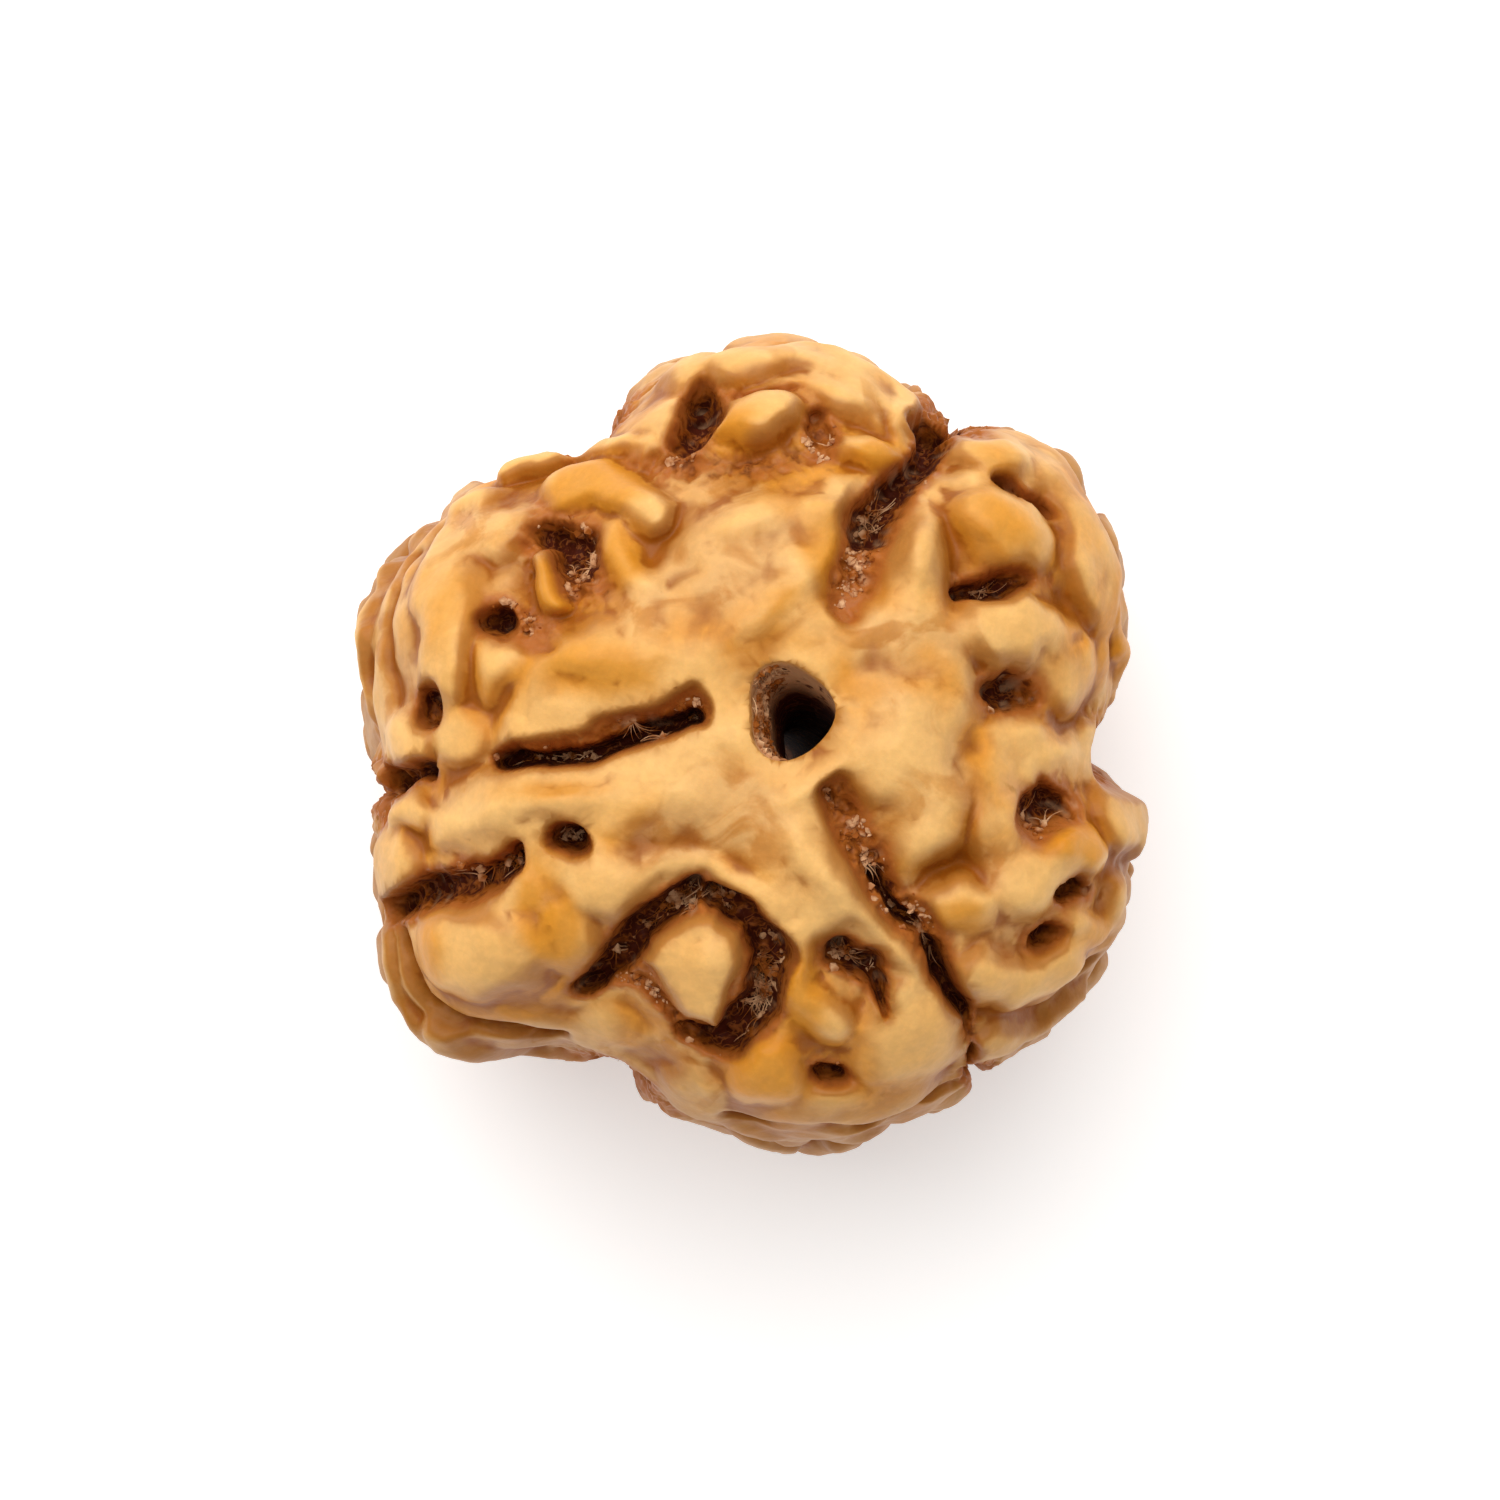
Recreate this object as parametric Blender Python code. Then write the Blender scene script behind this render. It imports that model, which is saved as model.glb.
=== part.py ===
"""Rudraksha bead: the stone of one dried fruit, with three lines that run from end to end, a net of knobs,
ridges and pits between them, and the natural hole along its axis. It rests on a small flat spot round the hole.

Features are placed in millimetres, seen from above: X to the right, Y up the page, from the bead's middle.
"""

import math

import bmesh
import bpy
import numpy as np
from mathutils import Matrix, Vector
from mathutils import noise as fields

MM = 0.001

# Driving sizes in millimetres
HALF_HEIGHT = 8.9
SQUARENESS = 2.5
STEP_OF_RADII = 20.0
RADII = (
    9.2, 10.4, 11.05, 10.25, 10.6, 10.2, 9.15, 10.0, 10.6,
    9.9, 10.4, 11.35, 9.35, 9.85, 10.7, 10.65, 10.7, 10.65,
)
FLAT_SPOT = 0.45
FOOT_RADIUS = 3.6
HOLE_MOUTH = (0.88, 0.88)
HOLE_FOOT = (-0.5, -0.5)
HOLE_BEND = (1.2, -0.5)
MOUTH_RADIUS = 1.15
BORE_RADIUS = 0.75

# Levels over the plain body, in millimetres
UPPER_LEVEL = -0.5
LOWER_LEVEL = -0.85
KNOB_DROP = 0.9
SIDE_DROP = 1.2
PIT_RIM = -0.15
DEPTH_REACH = 2.6
NET_CELL = (2.2, 2.2, 3.0)
NET_TOP = 3.2
NET_FADE = 6.5
NET_FURROW = 0.19
UPRIGHT = 0.75
UPRIGHT_FROM = 7.0
SWAY = 0.14
QUIVER = 0.05
RIPPLE = 0.03
LIFT_BLEND = 0.4
CARVE_BLEND = 0.28

# The three lines leave the top at these angles from +X, and the shallower valleys lie between them
LINE_ANGLES = (58.8, 187.5, -54.6)
LINE_MOUTHS = (1.1, 0.7, 0.45)
VALLEY_ANGLES = (119.0, 247.0, 0.5)

# How fine the surface is before and after it is thinned
SPHERE_LEVEL = 8
TRIANGLES = 10400
SEED = 108


def body_reach(direction):
    """Distance from the middle to the plain body along unit directions, one row each."""
    azimuth = np.degrees(np.arctan2(direction[:, 1], direction[:, 0])) % 360.0
    place = azimuth / STEP_OF_RADII
    index = np.floor(place).astype(int)
    share = place - index
    radii = np.array(RADII)
    count = len(RADII)
    before, here = radii[(index - 1) % count], radii[index % count]
    after, beyond = radii[(index + 1) % count], radii[(index + 2) % count]
    slope_here, slope_after = (after - before) / 2.0, (beyond - here) / 2.0
    turn = share * share * (3.0 - 2.0 * share)
    radius = here + (after - here) * turn
    radius = radius + slope_here * share * (1.0 - share) ** 2 - slope_after * share**2 * (1.0 - share)
    flat = np.hypot(direction[:, 0], direction[:, 1]) / radius
    high = np.abs(direction[:, 2]) / HALF_HEIGHT
    return (flat**SQUARENESS + high**SQUARENESS) ** (-1.0 / SQUARENESS)


def on_top(x, y):
    """The point of the plain body's upper side over a place in plan."""
    flat = math.hypot(x, y)
    heading = np.array([[x / max(flat, 1e-6), y / max(flat, 1e-6), 0.0]])
    edge = float(body_reach(heading)[0])
    share = min(flat / edge, 0.999)
    height = HALF_HEIGHT * (1.0 - share**SQUARENESS) ** (1.0 / SQUARENESS)
    return np.array([x * share * edge / max(flat, 1e-6), y * share * edge / max(flat, 1e-6), height])


def on_side(azimuth, latitude):
    """The point of the plain body at an angle round the axis and an angle over its middle, in degrees."""
    a, b = math.radians(azimuth), math.radians(latitude)
    heading = np.array([[math.cos(b) * math.cos(a), math.cos(b) * math.sin(a), math.sin(b)]])
    return heading[0] * body_reach(heading)[0]


def waves(points, rng, count, length):
    """Smooth noise between about -1 and 1: a sum of sine waves in random directions."""
    total = np.zeros(len(points))
    for _ in range(count):
        heading = rng.normal(size=3)
        heading /= np.linalg.norm(heading)
        pace = 2.0 * math.pi / (length * rng.uniform(0.7, 1.4))
        total += np.sin(points @ heading * pace + rng.uniform(0.0, 2.0 * math.pi))
    return total / math.sqrt(count)


def rise_axes(places):
    """The way that relief rises: outward on the sides and the underside, nearly upright on the upper side."""
    heading = places / np.linalg.norm(places, axis=1)[:, None]
    share = np.clip(places[:, 2] / UPRIGHT_FROM, 0.0, 1.0)
    share = UPRIGHT * share * share * (3.0 - 2.0 * share)
    axes = heading * (1.0 - share)[:, None]
    axes[:, 2] += share
    return axes / np.linalg.norm(axes, axis=1)[:, None]


class Relief:
    """Heights over the plain body, shaped by one knob, ridge, pit or groove after another."""

    def __init__(self, points):
        rng = np.random.default_rng(SEED)
        sway = np.stack([waves(points, rng, 9, 2.6) for _ in range(3)], axis=1)
        quiver = np.stack([waves(points, rng, 7, 1.0) for _ in range(3)], axis=1)
        self.points = points + SWAY * sway + QUIVER * quiver
        upper = np.clip(0.5 + points[:, 2] / 6.0, 0.0, 1.0)
        self.height = LOWER_LEVEL + (UPPER_LEVEL - LOWER_LEVEL) * upper + 0.1 * waves(points, rng, 12, 2.2)
        self.ripple = RIPPLE * waves(points, rng, 14, 1.7)

    def lift(self, near, level):
        """Raise the surface to a level, with a soft join."""
        old = self.height[near]
        share = np.clip(0.5 + 0.5 * (level - old) / LIFT_BLEND, 0.0, 1.0)
        self.height[near] = old + (level - old) * share + LIFT_BLEND * share * (1.0 - share)

    def carve(self, near, level):
        """Lower the surface to a level, with a soft join."""
        old = self.height[near]
        share = np.clip(0.5 + 0.5 * (old - level) / CARVE_BLEND, 0.0, 1.0)
        self.height[near] = old + (level - old) * share - CARVE_BLEND * share * (1.0 - share)

    def oval(self, centre, axes, sizes, reach=2.0):
        """The points near an oval, and how far out each is, 1 at its edge."""
        offset = self.points - centre
        out = np.zeros(len(offset))
        for axis, size in zip(axes, sizes):
            out += (offset @ axis / size) ** 2
        near = np.nonzero((out < reach**2) & (self.points @ centre > 0.0))[0]
        return near, np.sqrt(out[near])

    def plan_oval(self, x, y, length, width, turn):
        """An oval on the upper side, as seen from above, turned from +X in degrees."""
        c, s = math.cos(math.radians(turn)), math.sin(math.radians(turn))
        axes = (np.array([c, s, 0.0]), np.array([-s, c, 0.0]), np.array([0.0, 0.0, 1.0]))
        return self.oval(on_top(x, y), axes, (length, width, DEPTH_REACH))

    def side_oval(self, azimuth, latitude, length, width, turn):
        """An oval on the side or the underside, turned from the level direction in degrees."""
        centre = on_side(azimuth, latitude)
        out = centre / np.linalg.norm(centre)
        level = np.cross([0.0, 0.0, 1.0], out)
        level /= max(np.linalg.norm(level), 1e-9)
        rise = np.cross(out, level)
        c, s = math.cos(math.radians(turn)), math.sin(math.radians(turn))
        return self.oval(centre, (c * level + s * rise, c * rise - s * level), (length, width))

    def along(self, route, widths):
        """The points near a route over the body, and how far out each is, 1 at its edge."""
        reach = 2.0 * max(widths)
        low, high = route.min(axis=0) - reach, route.max(axis=0) + reach
        near = np.nonzero(((self.points > low) & (self.points < high)).all(axis=1))[0]
        points = self.points[near]
        out = np.full(len(near), 9.0)
        for start, end, w0, w1 in zip(route[:-1], route[1:], widths[:-1], widths[1:]):
            run = end - start
            share = np.clip((points - start) @ run / (run @ run), 0.0, 1.0)
            gap = np.linalg.norm(points - start - share[:, None] * run, axis=1)
            out = np.minimum(out, gap / (w0 + (w1 - w0) * share))
        return near, out

    def knob(self, x, y, length, width, turn, top, power=3.0):
        near, out = self.plan_oval(x, y, length, width, turn)
        self.lift(near, top - KNOB_DROP * out**power)

    def pit(self, x, y, length, width, turn, floor, power=2.6):
        near, out = self.plan_oval(x, y, length, width, turn)
        self.carve(near, floor + (PIT_RIM - floor) * out**power)

    def ridge(self, places, widths, top, power=2.6):
        route = np.array([on_top(x, y) for x, y in places])
        near, out = self.along(route, widths_of(widths, route))
        self.lift(near, top - KNOB_DROP * out**power)

    def groove(self, places, widths, floor, power=2.4):
        route = np.array([on_top(x, y) for x, y in places])
        near, out = self.along(route, widths_of(widths, route))
        self.carve(near, floor + (PIT_RIM - floor) * out**power)

    def crease(self, places, widths, floor):
        """A soft furrow."""
        route = np.array([on_top(x, y) for x, y in places])
        near, out = self.along(route, widths_of(widths, route))
        self.height[near] += floor * np.exp(-1.5 * out**2) * np.clip(2.0 - out, 0.0, 1.0)

    def plateau(self, outline, top, shoulder, drop=0.5):
        """A level area of the upper side, inside an outline in plan, with a rounded edge."""
        near = np.nonzero(self.points[:, 2] > 0.0)[0]
        x, y = self.points[near, 0], self.points[near, 1]
        inside = np.zeros(len(near), dtype=bool)
        gap = np.full(len(near), 99.0)
        for (x0, y0), (x1, y1) in zip(outline, outline[1:] + outline[:1]):
            run_x, run_y = x1 - x0, y1 - y0
            share = np.clip(((x - x0) * run_x + (y - y0) * run_y) / (run_x**2 + run_y**2), 0.0, 1.0)
            gap = np.minimum(gap, np.hypot(x - x0 - share * run_x, y - y0 - share * run_y))
            if y0 != y1:
                inside ^= ((y0 > y) != (y1 > y)) & (x < x0 + run_x * (y - y0) / run_y)
        out = np.clip(1.0 + np.where(inside, -gap, gap) / shoulder, 0.0, 3.0)
        self.lift(near, top - drop * out**3)

    def swell(self, x, y, length, width, turn, rise):
        """A gentle rise or, below zero, a gentle dip."""
        near, out = self.plan_oval(x, y, length, width, turn)
        self.height[near] += rise * np.exp(-1.5 * out**2) * (1.0 - (out / 2.0) ** 2)

    def side_knob(self, azimuth, latitude, length, width, turn, top, power=2.8):
        near, out = self.side_oval(azimuth, latitude, length, width, turn)
        self.lift(near, top - SIDE_DROP * out**power)

    def side_groove(self, places, widths, floor):
        route = np.array([on_side(azimuth, latitude) for azimuth, latitude in places])
        near, out = self.along(route, widths_of(widths, route))
        self.carve(near, floor + (PIT_RIM - floor) * out**2.0)


def widths_of(widths, route):
    """One half-width for each point of a route, from one number or a start and an end."""
    if isinstance(widths, (int, float)):
        return np.full(len(route), float(widths))
    return np.interp(np.linspace(0.0, 1.0, len(route)), np.linspace(0.0, 1.0, len(widths)), widths)


def hidden_net(relief):
    """The net of knobs and furrows round the side and the underside, with a pit wherever furrows meet."""
    near = np.nonzero(relief.points[:, 2] < NET_TOP)[0]
    points = relief.points[near]
    gaps = np.array([fields.voronoi(Vector(spot))[0][:3] for spot in points / NET_CELL])
    mood = np.array([fields.noise(Vector(spot)) for spot in points / 2.4])
    furrow = np.exp(-(((gaps[:, 1] - gaps[:, 0]) / NET_FURROW) ** 2)) * np.clip(0.55 + 1.3 * mood, 0.12, 1.0)
    knot = np.exp(-(((gaps[:, 2] - gaps[:, 0]) / NET_FURROW) ** 2)) * np.clip(0.6 - 1.0 * mood, 0.0, 1.0)
    net = 0.04 - 0.3 * gaps[:, 0] ** 2 + 0.2 * mood - 0.6 * furrow - 1.4 * knot
    share = np.clip((NET_TOP - points[:, 2]) / NET_FADE, 0.0, 1.0)
    share = share * share * (3.0 - 2.0 * share)
    relief.height[near] += (net - relief.height[near]) * share


def foot(relief):
    """The low collar round the lower mouth of the hole, which the bead rests on."""
    below = np.nonzero(relief.points[:, 2] < 0.0)[0]
    out = np.hypot(relief.points[below, 0], relief.points[below, 1]) / FOOT_RADIUS
    relief.lift(below, -0.05 - 0.6 * out**4)


def side_lines(relief):
    """The three lines and the three valleys between them, down the side to the lower mouth of the hole."""
    rng = np.random.default_rng(SEED + 3)
    for angle in VALLEY_ANGLES:
        places = [(angle + rng.uniform(-3, 3), latitude) for latitude in (22, 8, -4, -18, -36, -52)]
        relief.side_groove(places, (0.9, 1.5, 1.3, 0.8, 0.5), -1.2)
    for angle, mouth in zip(LINE_ANGLES, LINE_MOUTHS):
        for side in (-1, 1):
            for latitude in (-16, -30, -44, -58):
                shift = side * 7.4 / math.cos(math.radians(latitude))
                top = rng.uniform(-0.1, 0.1)
                relief.side_knob(angle + shift, latitude + rng.uniform(-3, 3), 1.9, 0.85, 90 + 8 * side, top)
        latitudes = (22, 10, 0, -15, -30, -45, -60, -76)
        places = [(angle + rng.uniform(-1.6, 1.6), latitude) for latitude in latitudes]
        relief.side_groove(places, (mouth, mouth, 1.0, 0.9), -0.9)
        relief.side_groove(places, (0.3, 0.3, 0.45, 0.42, 0.55), -2.1)


MAIN_PLATEAU = [
    (-6.2, -0.3), (-6.3, 1.2), (-5.0, 2.7), (-3.4, 3.3), (-2.6, 4.2), (-2.0, 5.2), (-1.4, 5.9), (0.3, 6.2),
    (2.5, 6.5), (2.6, 5.9), (2.3, 4.9), (1.9, 3.6), (2.3, 3.0), (2.9, 3.6), (3.4, 4.9), (3.9, 5.6),
    (4.4, 6.05), (4.8, 5.4), (5.0, 4.1), (5.2, 2.6), (5.6, 0.6), (5.6, -0.8), (5.3, -2.4), (4.6, -3.1),
    (3.8, -2.9), (3.1, -1.6), (2.4, -0.8), (1.9, -1.1), (2.5, -2.9), (3.4, -4.6), (4.4, -6.1), (3.4, -5.6),
    (2.3, -4.6), (1.2, -5.0), (0.3, -4.4), (-1.2, -3.4), (-2.2, -3.3), (-3.2, -4.4), (-4.6, -4.6),
    (-5.4, -3.2), (-6.75, -2.7), (-8.0, -2.5), (-8.2, -1.6), (-7.5, -1.0),
]


def main_plateau(relief):
    """The broad level middle, which the lines and the hole are sunk in, with its soft swells and dips."""
    relief.plateau(MAIN_PLATEAU, 0.02, 0.9)
    relief.swell(-3.9, 2.2, 2.6, 0.8, 3, 0.28)
    relief.swell(-1.4, 1.9, 1.4, 0.8, -10, 0.12)
    relief.swell(-1.5, 4.9, 1.2, 0.8, 40, -0.12)
    relief.swell(2.0, 5.9, 0.8, 0.6, 20, 0.22)
    relief.swell(0.7, 3.7, 1.8, 0.6, 42, 0.2)
    relief.swell(-0.2, 5.3, 1.4, 0.5, 10, 0.1)
    relief.swell(4.2, 4.7, 1.5, 0.55, 78, 0.28)
    relief.swell(4.0, -0.2, 2.5, 1.2, 92, 0.25)
    relief.swell(3.0, 1.8, 1.2, 0.5, 20, -0.1)
    relief.swell(-4.9, -1.5, 3.2, 0.6, 5, 0.25)
    relief.swell(-6.6, -2.0, 1.2, 0.7, 0, 0.15)
    relief.swell(-1.9, -2.5, 1.8, 0.7, -8, -0.22)
    relief.swell(-4.0, -3.6, 1.0, 0.8, 0, 0.12)
    relief.swell(1.6, -3.0, 1.9, 0.6, -60, 0.22)
    relief.swell(-0.2, -3.0, 0.8, 0.4, -35, -0.1)
    relief.swell(1.6, -0.9, 1.4, 0.4, 25, 0.14)


def upper_left_segment(relief):
    """Between the left line and the upper right one: shoulder, gold knob and the bank over the left line."""
    relief.ridge([(-9.7, 4.7), (-9.9, 2.8), (-9.8, 0.8)], 0.6, -0.12)
    relief.ridge([(-7.0, 5.9), (-7.7, 4.4), (-7.6, 2.9), (-7.7, 1.7)], (1.2, 1.25, 1.0), 0.12, 4)
    relief.knob(-6.4, 5.4, 1.3, 1.0, 30, 0.0, 4)
    relief.knob(-6.2, 1.9, 1.2, 0.9, 70, -0.05, 4)
    relief.ridge([(-4.6, 6.6), (-3.6, 6.45), (-2.4, 5.7)], (0.95, 0.95, 0.6), 0.28)
    relief.ridge([(-6.0, 6.9), (-4.2, 7.6), (-2.8, 7.3)], 0.7, 0.1)
    relief.ridge([(-3.4, 5.1), (-2.6, 3.9)], 0.75, 0.06)
    relief.knob(-8.5, 0.1, 1.0, 0.9, 90, 0.05, 4)
    relief.knob(-7.1, 0.3, 1.1, 0.9, -12, -0.02, 4)
    relief.knob(-9.6, -0.8, 0.5, 0.4, 90, -0.15)
    relief.crease([(-8.7, 5.0), (-9.15, 2.8), (-8.9, 1.3)], 0.35, -0.25)


def top_lobe(relief):
    """The lobe at the top of the page: its cap, the block knob and the small knob beside the line."""
    relief.knob(-1.5, 9.5, 1.2, 0.9, 15, -0.05, 4)
    relief.ridge([(-0.3, 9.6), (1.2, 9.8), (2.9, 9.2), (4.1, 8.3)], (1.0, 1.15, 0.95), 0.1, 4)
    relief.knob(2.6, 8.9, 1.6, 0.9, -20, 0.0, 4)
    relief.knob(0.15, 8.2, 1.25, 0.8, 0, 0.42, 5)
    relief.knob(2.75, 7.35, 0.7, 0.85, 90, 0.22)
    relief.ridge([(2.9, 7.3), (4.0, 8.3)], 0.4, 0.0)
    relief.knob(-2.3, 8.0, 1.0, 1.4, -20, -0.2, 4)


def right_segment(relief):
    """Between the upper right line and the lower right one: stacked ridges, the long plateau and its knobs."""
    relief.knob(5.95, 7.2, 1.35, 0.85, -25, 0.38)
    relief.knob(7.3, 7.2, 1.9, 1.0, -40, -0.05, 4)
    relief.knob(6.2, 5.5, 1.75, 1.1, -33, 0.5)
    relief.knob(6.5, 2.8, 2.0, 1.0, -2, 0.35, 4)
    relief.swell(6.75, 3.7, 0.7, 0.5, 0, 0.2)
    relief.knob(8.6, 4.8, 2.3, 1.4, 100, 0.1, 4)
    relief.ridge([(9.3, 3.4), (9.5, 2.4), (9.3, 1.3)], 0.45, -0.15)
    relief.knob(8.0, 2.0, 1.4, 1.1, 100, 0.0, 4)
    relief.ridge([(5.6, -0.4), (7.2, 0.0), (8.7, -0.3)], (1.1, 1.0, 0.9), 0.0)
    relief.knob(6.1, -1.4, 0.9, 2.0, 0, -0.05, 4)
    relief.knob(5.15, -4.0, 1.35, 1.0, -8, 0.15)
    relief.knob(6.7, -3.3, 1.4, 1.2, 10, -0.02, 4)
    relief.knob(8.2, -2.6, 1.3, 0.7, 15, 0.2)
    relief.knob(9.4, -1.6, 1.5, 1.1, 92, 0.35, 4)
    relief.knob(9.3, -4.0, 1.2, 0.8, 90, -0.05)
    relief.knob(8.5, -4.6, 1.0, 0.7, 0, -0.05)
    relief.ridge([(5.5, -5.7), (6.6, -6.0), (8.0, -5.4)], (0.8, 1.05, 0.9), 0.18)
    relief.ridge([(6.0, -7.3), (7.2, -7.4), (8.4, -6.5)], 0.7, -0.12)


def lower_left_segment(relief):
    """Between the left line and the lower right one: big knob, rim, gold knob and bottom lobe."""
    relief.knob(-8.5, -1.8, 0.8, 0.65, 0, 0.0)
    relief.knob(-9.1, -3.1, 1.4, 1.1, 100, 0.0, 4)
    relief.knob(-6.7, -5.1, 2.2, 1.4, 6, 0.55, 4)
    relief.ridge([(-5.7, -3.7), (-4.7, -4.9)], 1.1, 0.16, 4)
    relief.ridge([(-9.3, -4.9), (-9.0, -6.3), (-7.9, -7.5)], 0.6, -0.05)
    relief.ridge([(-7.8, -7.3), (-6.2, -8.1), (-4.9, -8.5)], 0.9, 0.05)
    relief.knob(-3.7, -7.2, 1.6, 1.0, 0, -0.3, 4)
    relief.ridge([(0.9, -4.6), (1.1, -6.0), (1.7, -6.9)], (0.75, 0.65, 0.7), 0.05)
    relief.knob(2.1, -6.8, 0.9, 0.6, 0, 0.1)
    relief.knob(0.5, -8.2, 1.25, 1.1, 0, 0.3)
    relief.knob(3.9, -7.4, 1.9, 1.6, 80, 0.18, 4)
    relief.knob(2.6, -9.1, 2.8, 1.1, 6, 0.02, 4)
    relief.knob(-1.5, -8.9, 1.5, 1.2, 80, -0.1, 4)


def top_lines(relief):
    """The upper ends of the three lines, as wide slots with fibre in them."""
    left = [(-6.2, -0.55), (-4.9, -0.35), (-3.75, 0.0), (-2.5, 0.45), (-1.25, 0.8)]
    relief.groove(left, (0.25, 0.56, 0.52), -2.2, 3.0)
    relief.groove([(-9.2, -0.85), (-8.0, -0.65)], (0.55, 0.4), -1.9)
    lower = [(2.1, -1.0), (2.55, -2.1), (3.05, -3.1), (3.6, -4.0), (4.2, -4.9), (4.9, -5.8), (5.4, -6.7)]
    lower.append((5.7, -8.2))
    relief.groove(lower, (0.52, 0.66, 0.6, 0.32, 0.22), -1.35, 4.0)
    relief.groove(lower[2:], (0.25, 0.3, 0.2), -2.1)
    relief.groove([(2.2, 3.3), (2.5, 4.3), (2.95, 5.4)], (0.42, 0.66, 0.75), -0.85, 3.0)
    relief.groove([(2.9, 5.3), (3.5, 6.2), (4.2, 7.1), (4.85, 8.3)], (0.55, 0.66, 0.55), -1.9, 3.0)


def pits_above(relief):
    """Pits, hollows and creases of the upper half of the page."""
    relief.swell(-5.2, 4.3, 2.0, 1.5, -60, -0.42)
    relief.pit(-4.7, 4.9, 1.25, 0.85, -50, -1.9)
    relief.ridge([(-5.3, 4.55), (-4.85, 3.4)], 0.36, 0.0)
    relief.pit(-6.2, 3.1, 0.7, 0.5, -20, -1.9)
    relief.pit(-5.5, 2.8, 0.8, 0.45, -25, -0.65)
    relief.pit(-7.95, 1.0, 0.6, 0.45, 80, -1.5)
    relief.swell(-6.1, 1.4, 0.8, 0.4, 60, -0.2)
    relief.crease([(-3.0, 7.1), (-1.0, 6.9), (1.2, 7.1)], 0.75, -0.45)
    relief.groove([(-1.15, 8.8), (-1.5, 7.7)], 0.68, -1.9)
    relief.groove([(-0.3, 8.95), (1.3, 8.85)], 0.22, -0.7)
    relief.pit(1.8, 7.75, 0.75, 0.42, 90, -1.2)
    relief.pit(-1.7, 3.95, 0.45, 0.4, 0, -0.5)
    relief.groove([(6.3, 6.45), (7.5, 6.05)], 0.24, -1.3)
    relief.groove([(5.2, 3.8), (6.2, 3.95), (7.5, 4.1)], (0.3, 0.42, 0.25), -1.7)
    relief.crease([(4.9, 5.3), (5.0, 4.2), (5.2, 3.0), (5.5, 1.8)], 0.4, -0.15)
    relief.crease([(7.4, 6.2), (7.7, 5.0), (7.9, 3.8), (8.6, 2.9)], 0.35, -0.25)
    relief.crease([(5.6, 2.2), (7.0, 2.2), (8.2, 2.6)], 0.3, -0.2)
    relief.crease([(-1.0, 7.4), (-1.2, 8.6)], 0.3, -0.2)
    relief.crease([(4.9, 6.2), (6.2, 6.3), (6.9, 5.7)], 0.25, -0.25)
    relief.pit(6.3, 1.35, 1.0, 0.68, 0, -1.9, 2.2)
    relief.swell(7.7, 0.6, 0.5, 0.5, 0, -0.2)


def pits_below(relief):
    """Pits, hollows and creases of the lower half of the page."""
    relief.groove([(-9.2, -4.2), (-8.2, -3.9), (-7.0, -3.35), (-5.8, -2.95)], (0.5, 0.6, 0.4), -1.7)
    relief.pit(-4.5, -2.45, 0.58, 0.5, 0, -2.0)
    relief.crease([(-8.8, -5.2), (-8.3, -6.4), (-7.0, -7.1), (-5.2, -7.3)], 0.5, -0.75)
    relief.crease([(-7.4, -7.9), (-5.6, -8.5)], 0.3, -0.3)
    relief.groove([(-1.5, -3.85), (-2.4, -4.25), (-3.3, -5.1), (-4.2, -6.0)], (0.55, 0.65, 0.4), -1.9, 3.2)
    around = [(-0.9, -3.95), (-0.1, -4.3), (0.55, -5.3), (0.25, -6.5), (-0.8, -7.4)]
    relief.groove(around, (0.4, 0.66, 0.6), -1.9, 3.2)
    relief.groove([(-0.6, -7.4), (-1.6, -7.2), (-2.4, -6.5)], (0.5, 0.5, 0.35), -1.4)
    relief.groove([(2.1, -5.2), (2.9, -5.7), (3.4, -6.6)], (0.48, 0.44, 0.2), -1.7)
    relief.pit(2.1, -8.15, 0.45, 0.42, 0, -1.5)
    relief.crease([(-0.5, -9.4), (2.0, -9.6), (5.2, -8.8)], 0.3, -0.35)
    relief.crease([(5.7, -6.7), (7.5, -6.8), (8.7, -5.8)], 0.32, -0.35)
    relief.crease([(3.3, -3.15), (4.2, -3.3), (5.2, -2.9)], 0.3, -0.4)
    relief.pit(7.45, -1.6, 1.0, 0.78, 0, -1.8)
    relief.pit(8.0, -3.65, 0.5, 0.36, 20, -1.5)
    relief.pit(7.5, -4.75, 0.6, 0.42, 15, -1.6)


TOOTH = [
    (-2.65, -5.2), (-2.0, -4.8), (-1.25, -4.45), (-0.6, -4.55), (-0.25, -5.05), (-0.4, -5.65), (-0.65, -6.2),
    (-1.05, -6.75), (-1.45, -6.5), (-1.9, -5.75), (-2.4, -5.45),
]


def tooth(relief):
    """The tooth that stands in the deep channel of the lower left segment."""
    relief.plateau(TOOTH, 0.08, 0.4, 0.7)
    relief.swell(-1.2, -5.2, 0.7, 0.6, 0, 0.12)


def surface_heights(points):
    """Height over the plain body at each of its points, in the order that the features lie on each other."""
    relief = Relief(points)
    for shape in (upper_left_segment, top_lobe, right_segment, lower_left_segment, main_plateau):
        shape(relief)
    for shape in (hidden_net, foot, side_lines):
        shape(relief)
    for shape in (top_lines, pits_above, pits_below, tooth):
        shape(relief)
    relief.height += relief.ripple
    return relief.height


def bead_mesh():
    """The whole surface as one closed mesh: a sphere whose points move out to the body and its relief."""
    shape = bmesh.new()
    bmesh.ops.create_icosphere(shape, subdivisions=SPHERE_LEVEL, radius=1.0)
    directions = np.array([vertex.co[:] for vertex in shape.verts])
    directions /= np.linalg.norm(directions, axis=1)[:, None]
    body = directions * body_reach(directions)[:, None]
    places = (body + rise_axes(body) * surface_heights(body)[:, None]) * MM
    mesh = bpy.data.meshes.new("bead")
    shape.to_mesh(mesh)
    shape.free()
    mesh.vertices.foreach_set("co", places.ravel())
    mesh.update()
    return mesh


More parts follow.
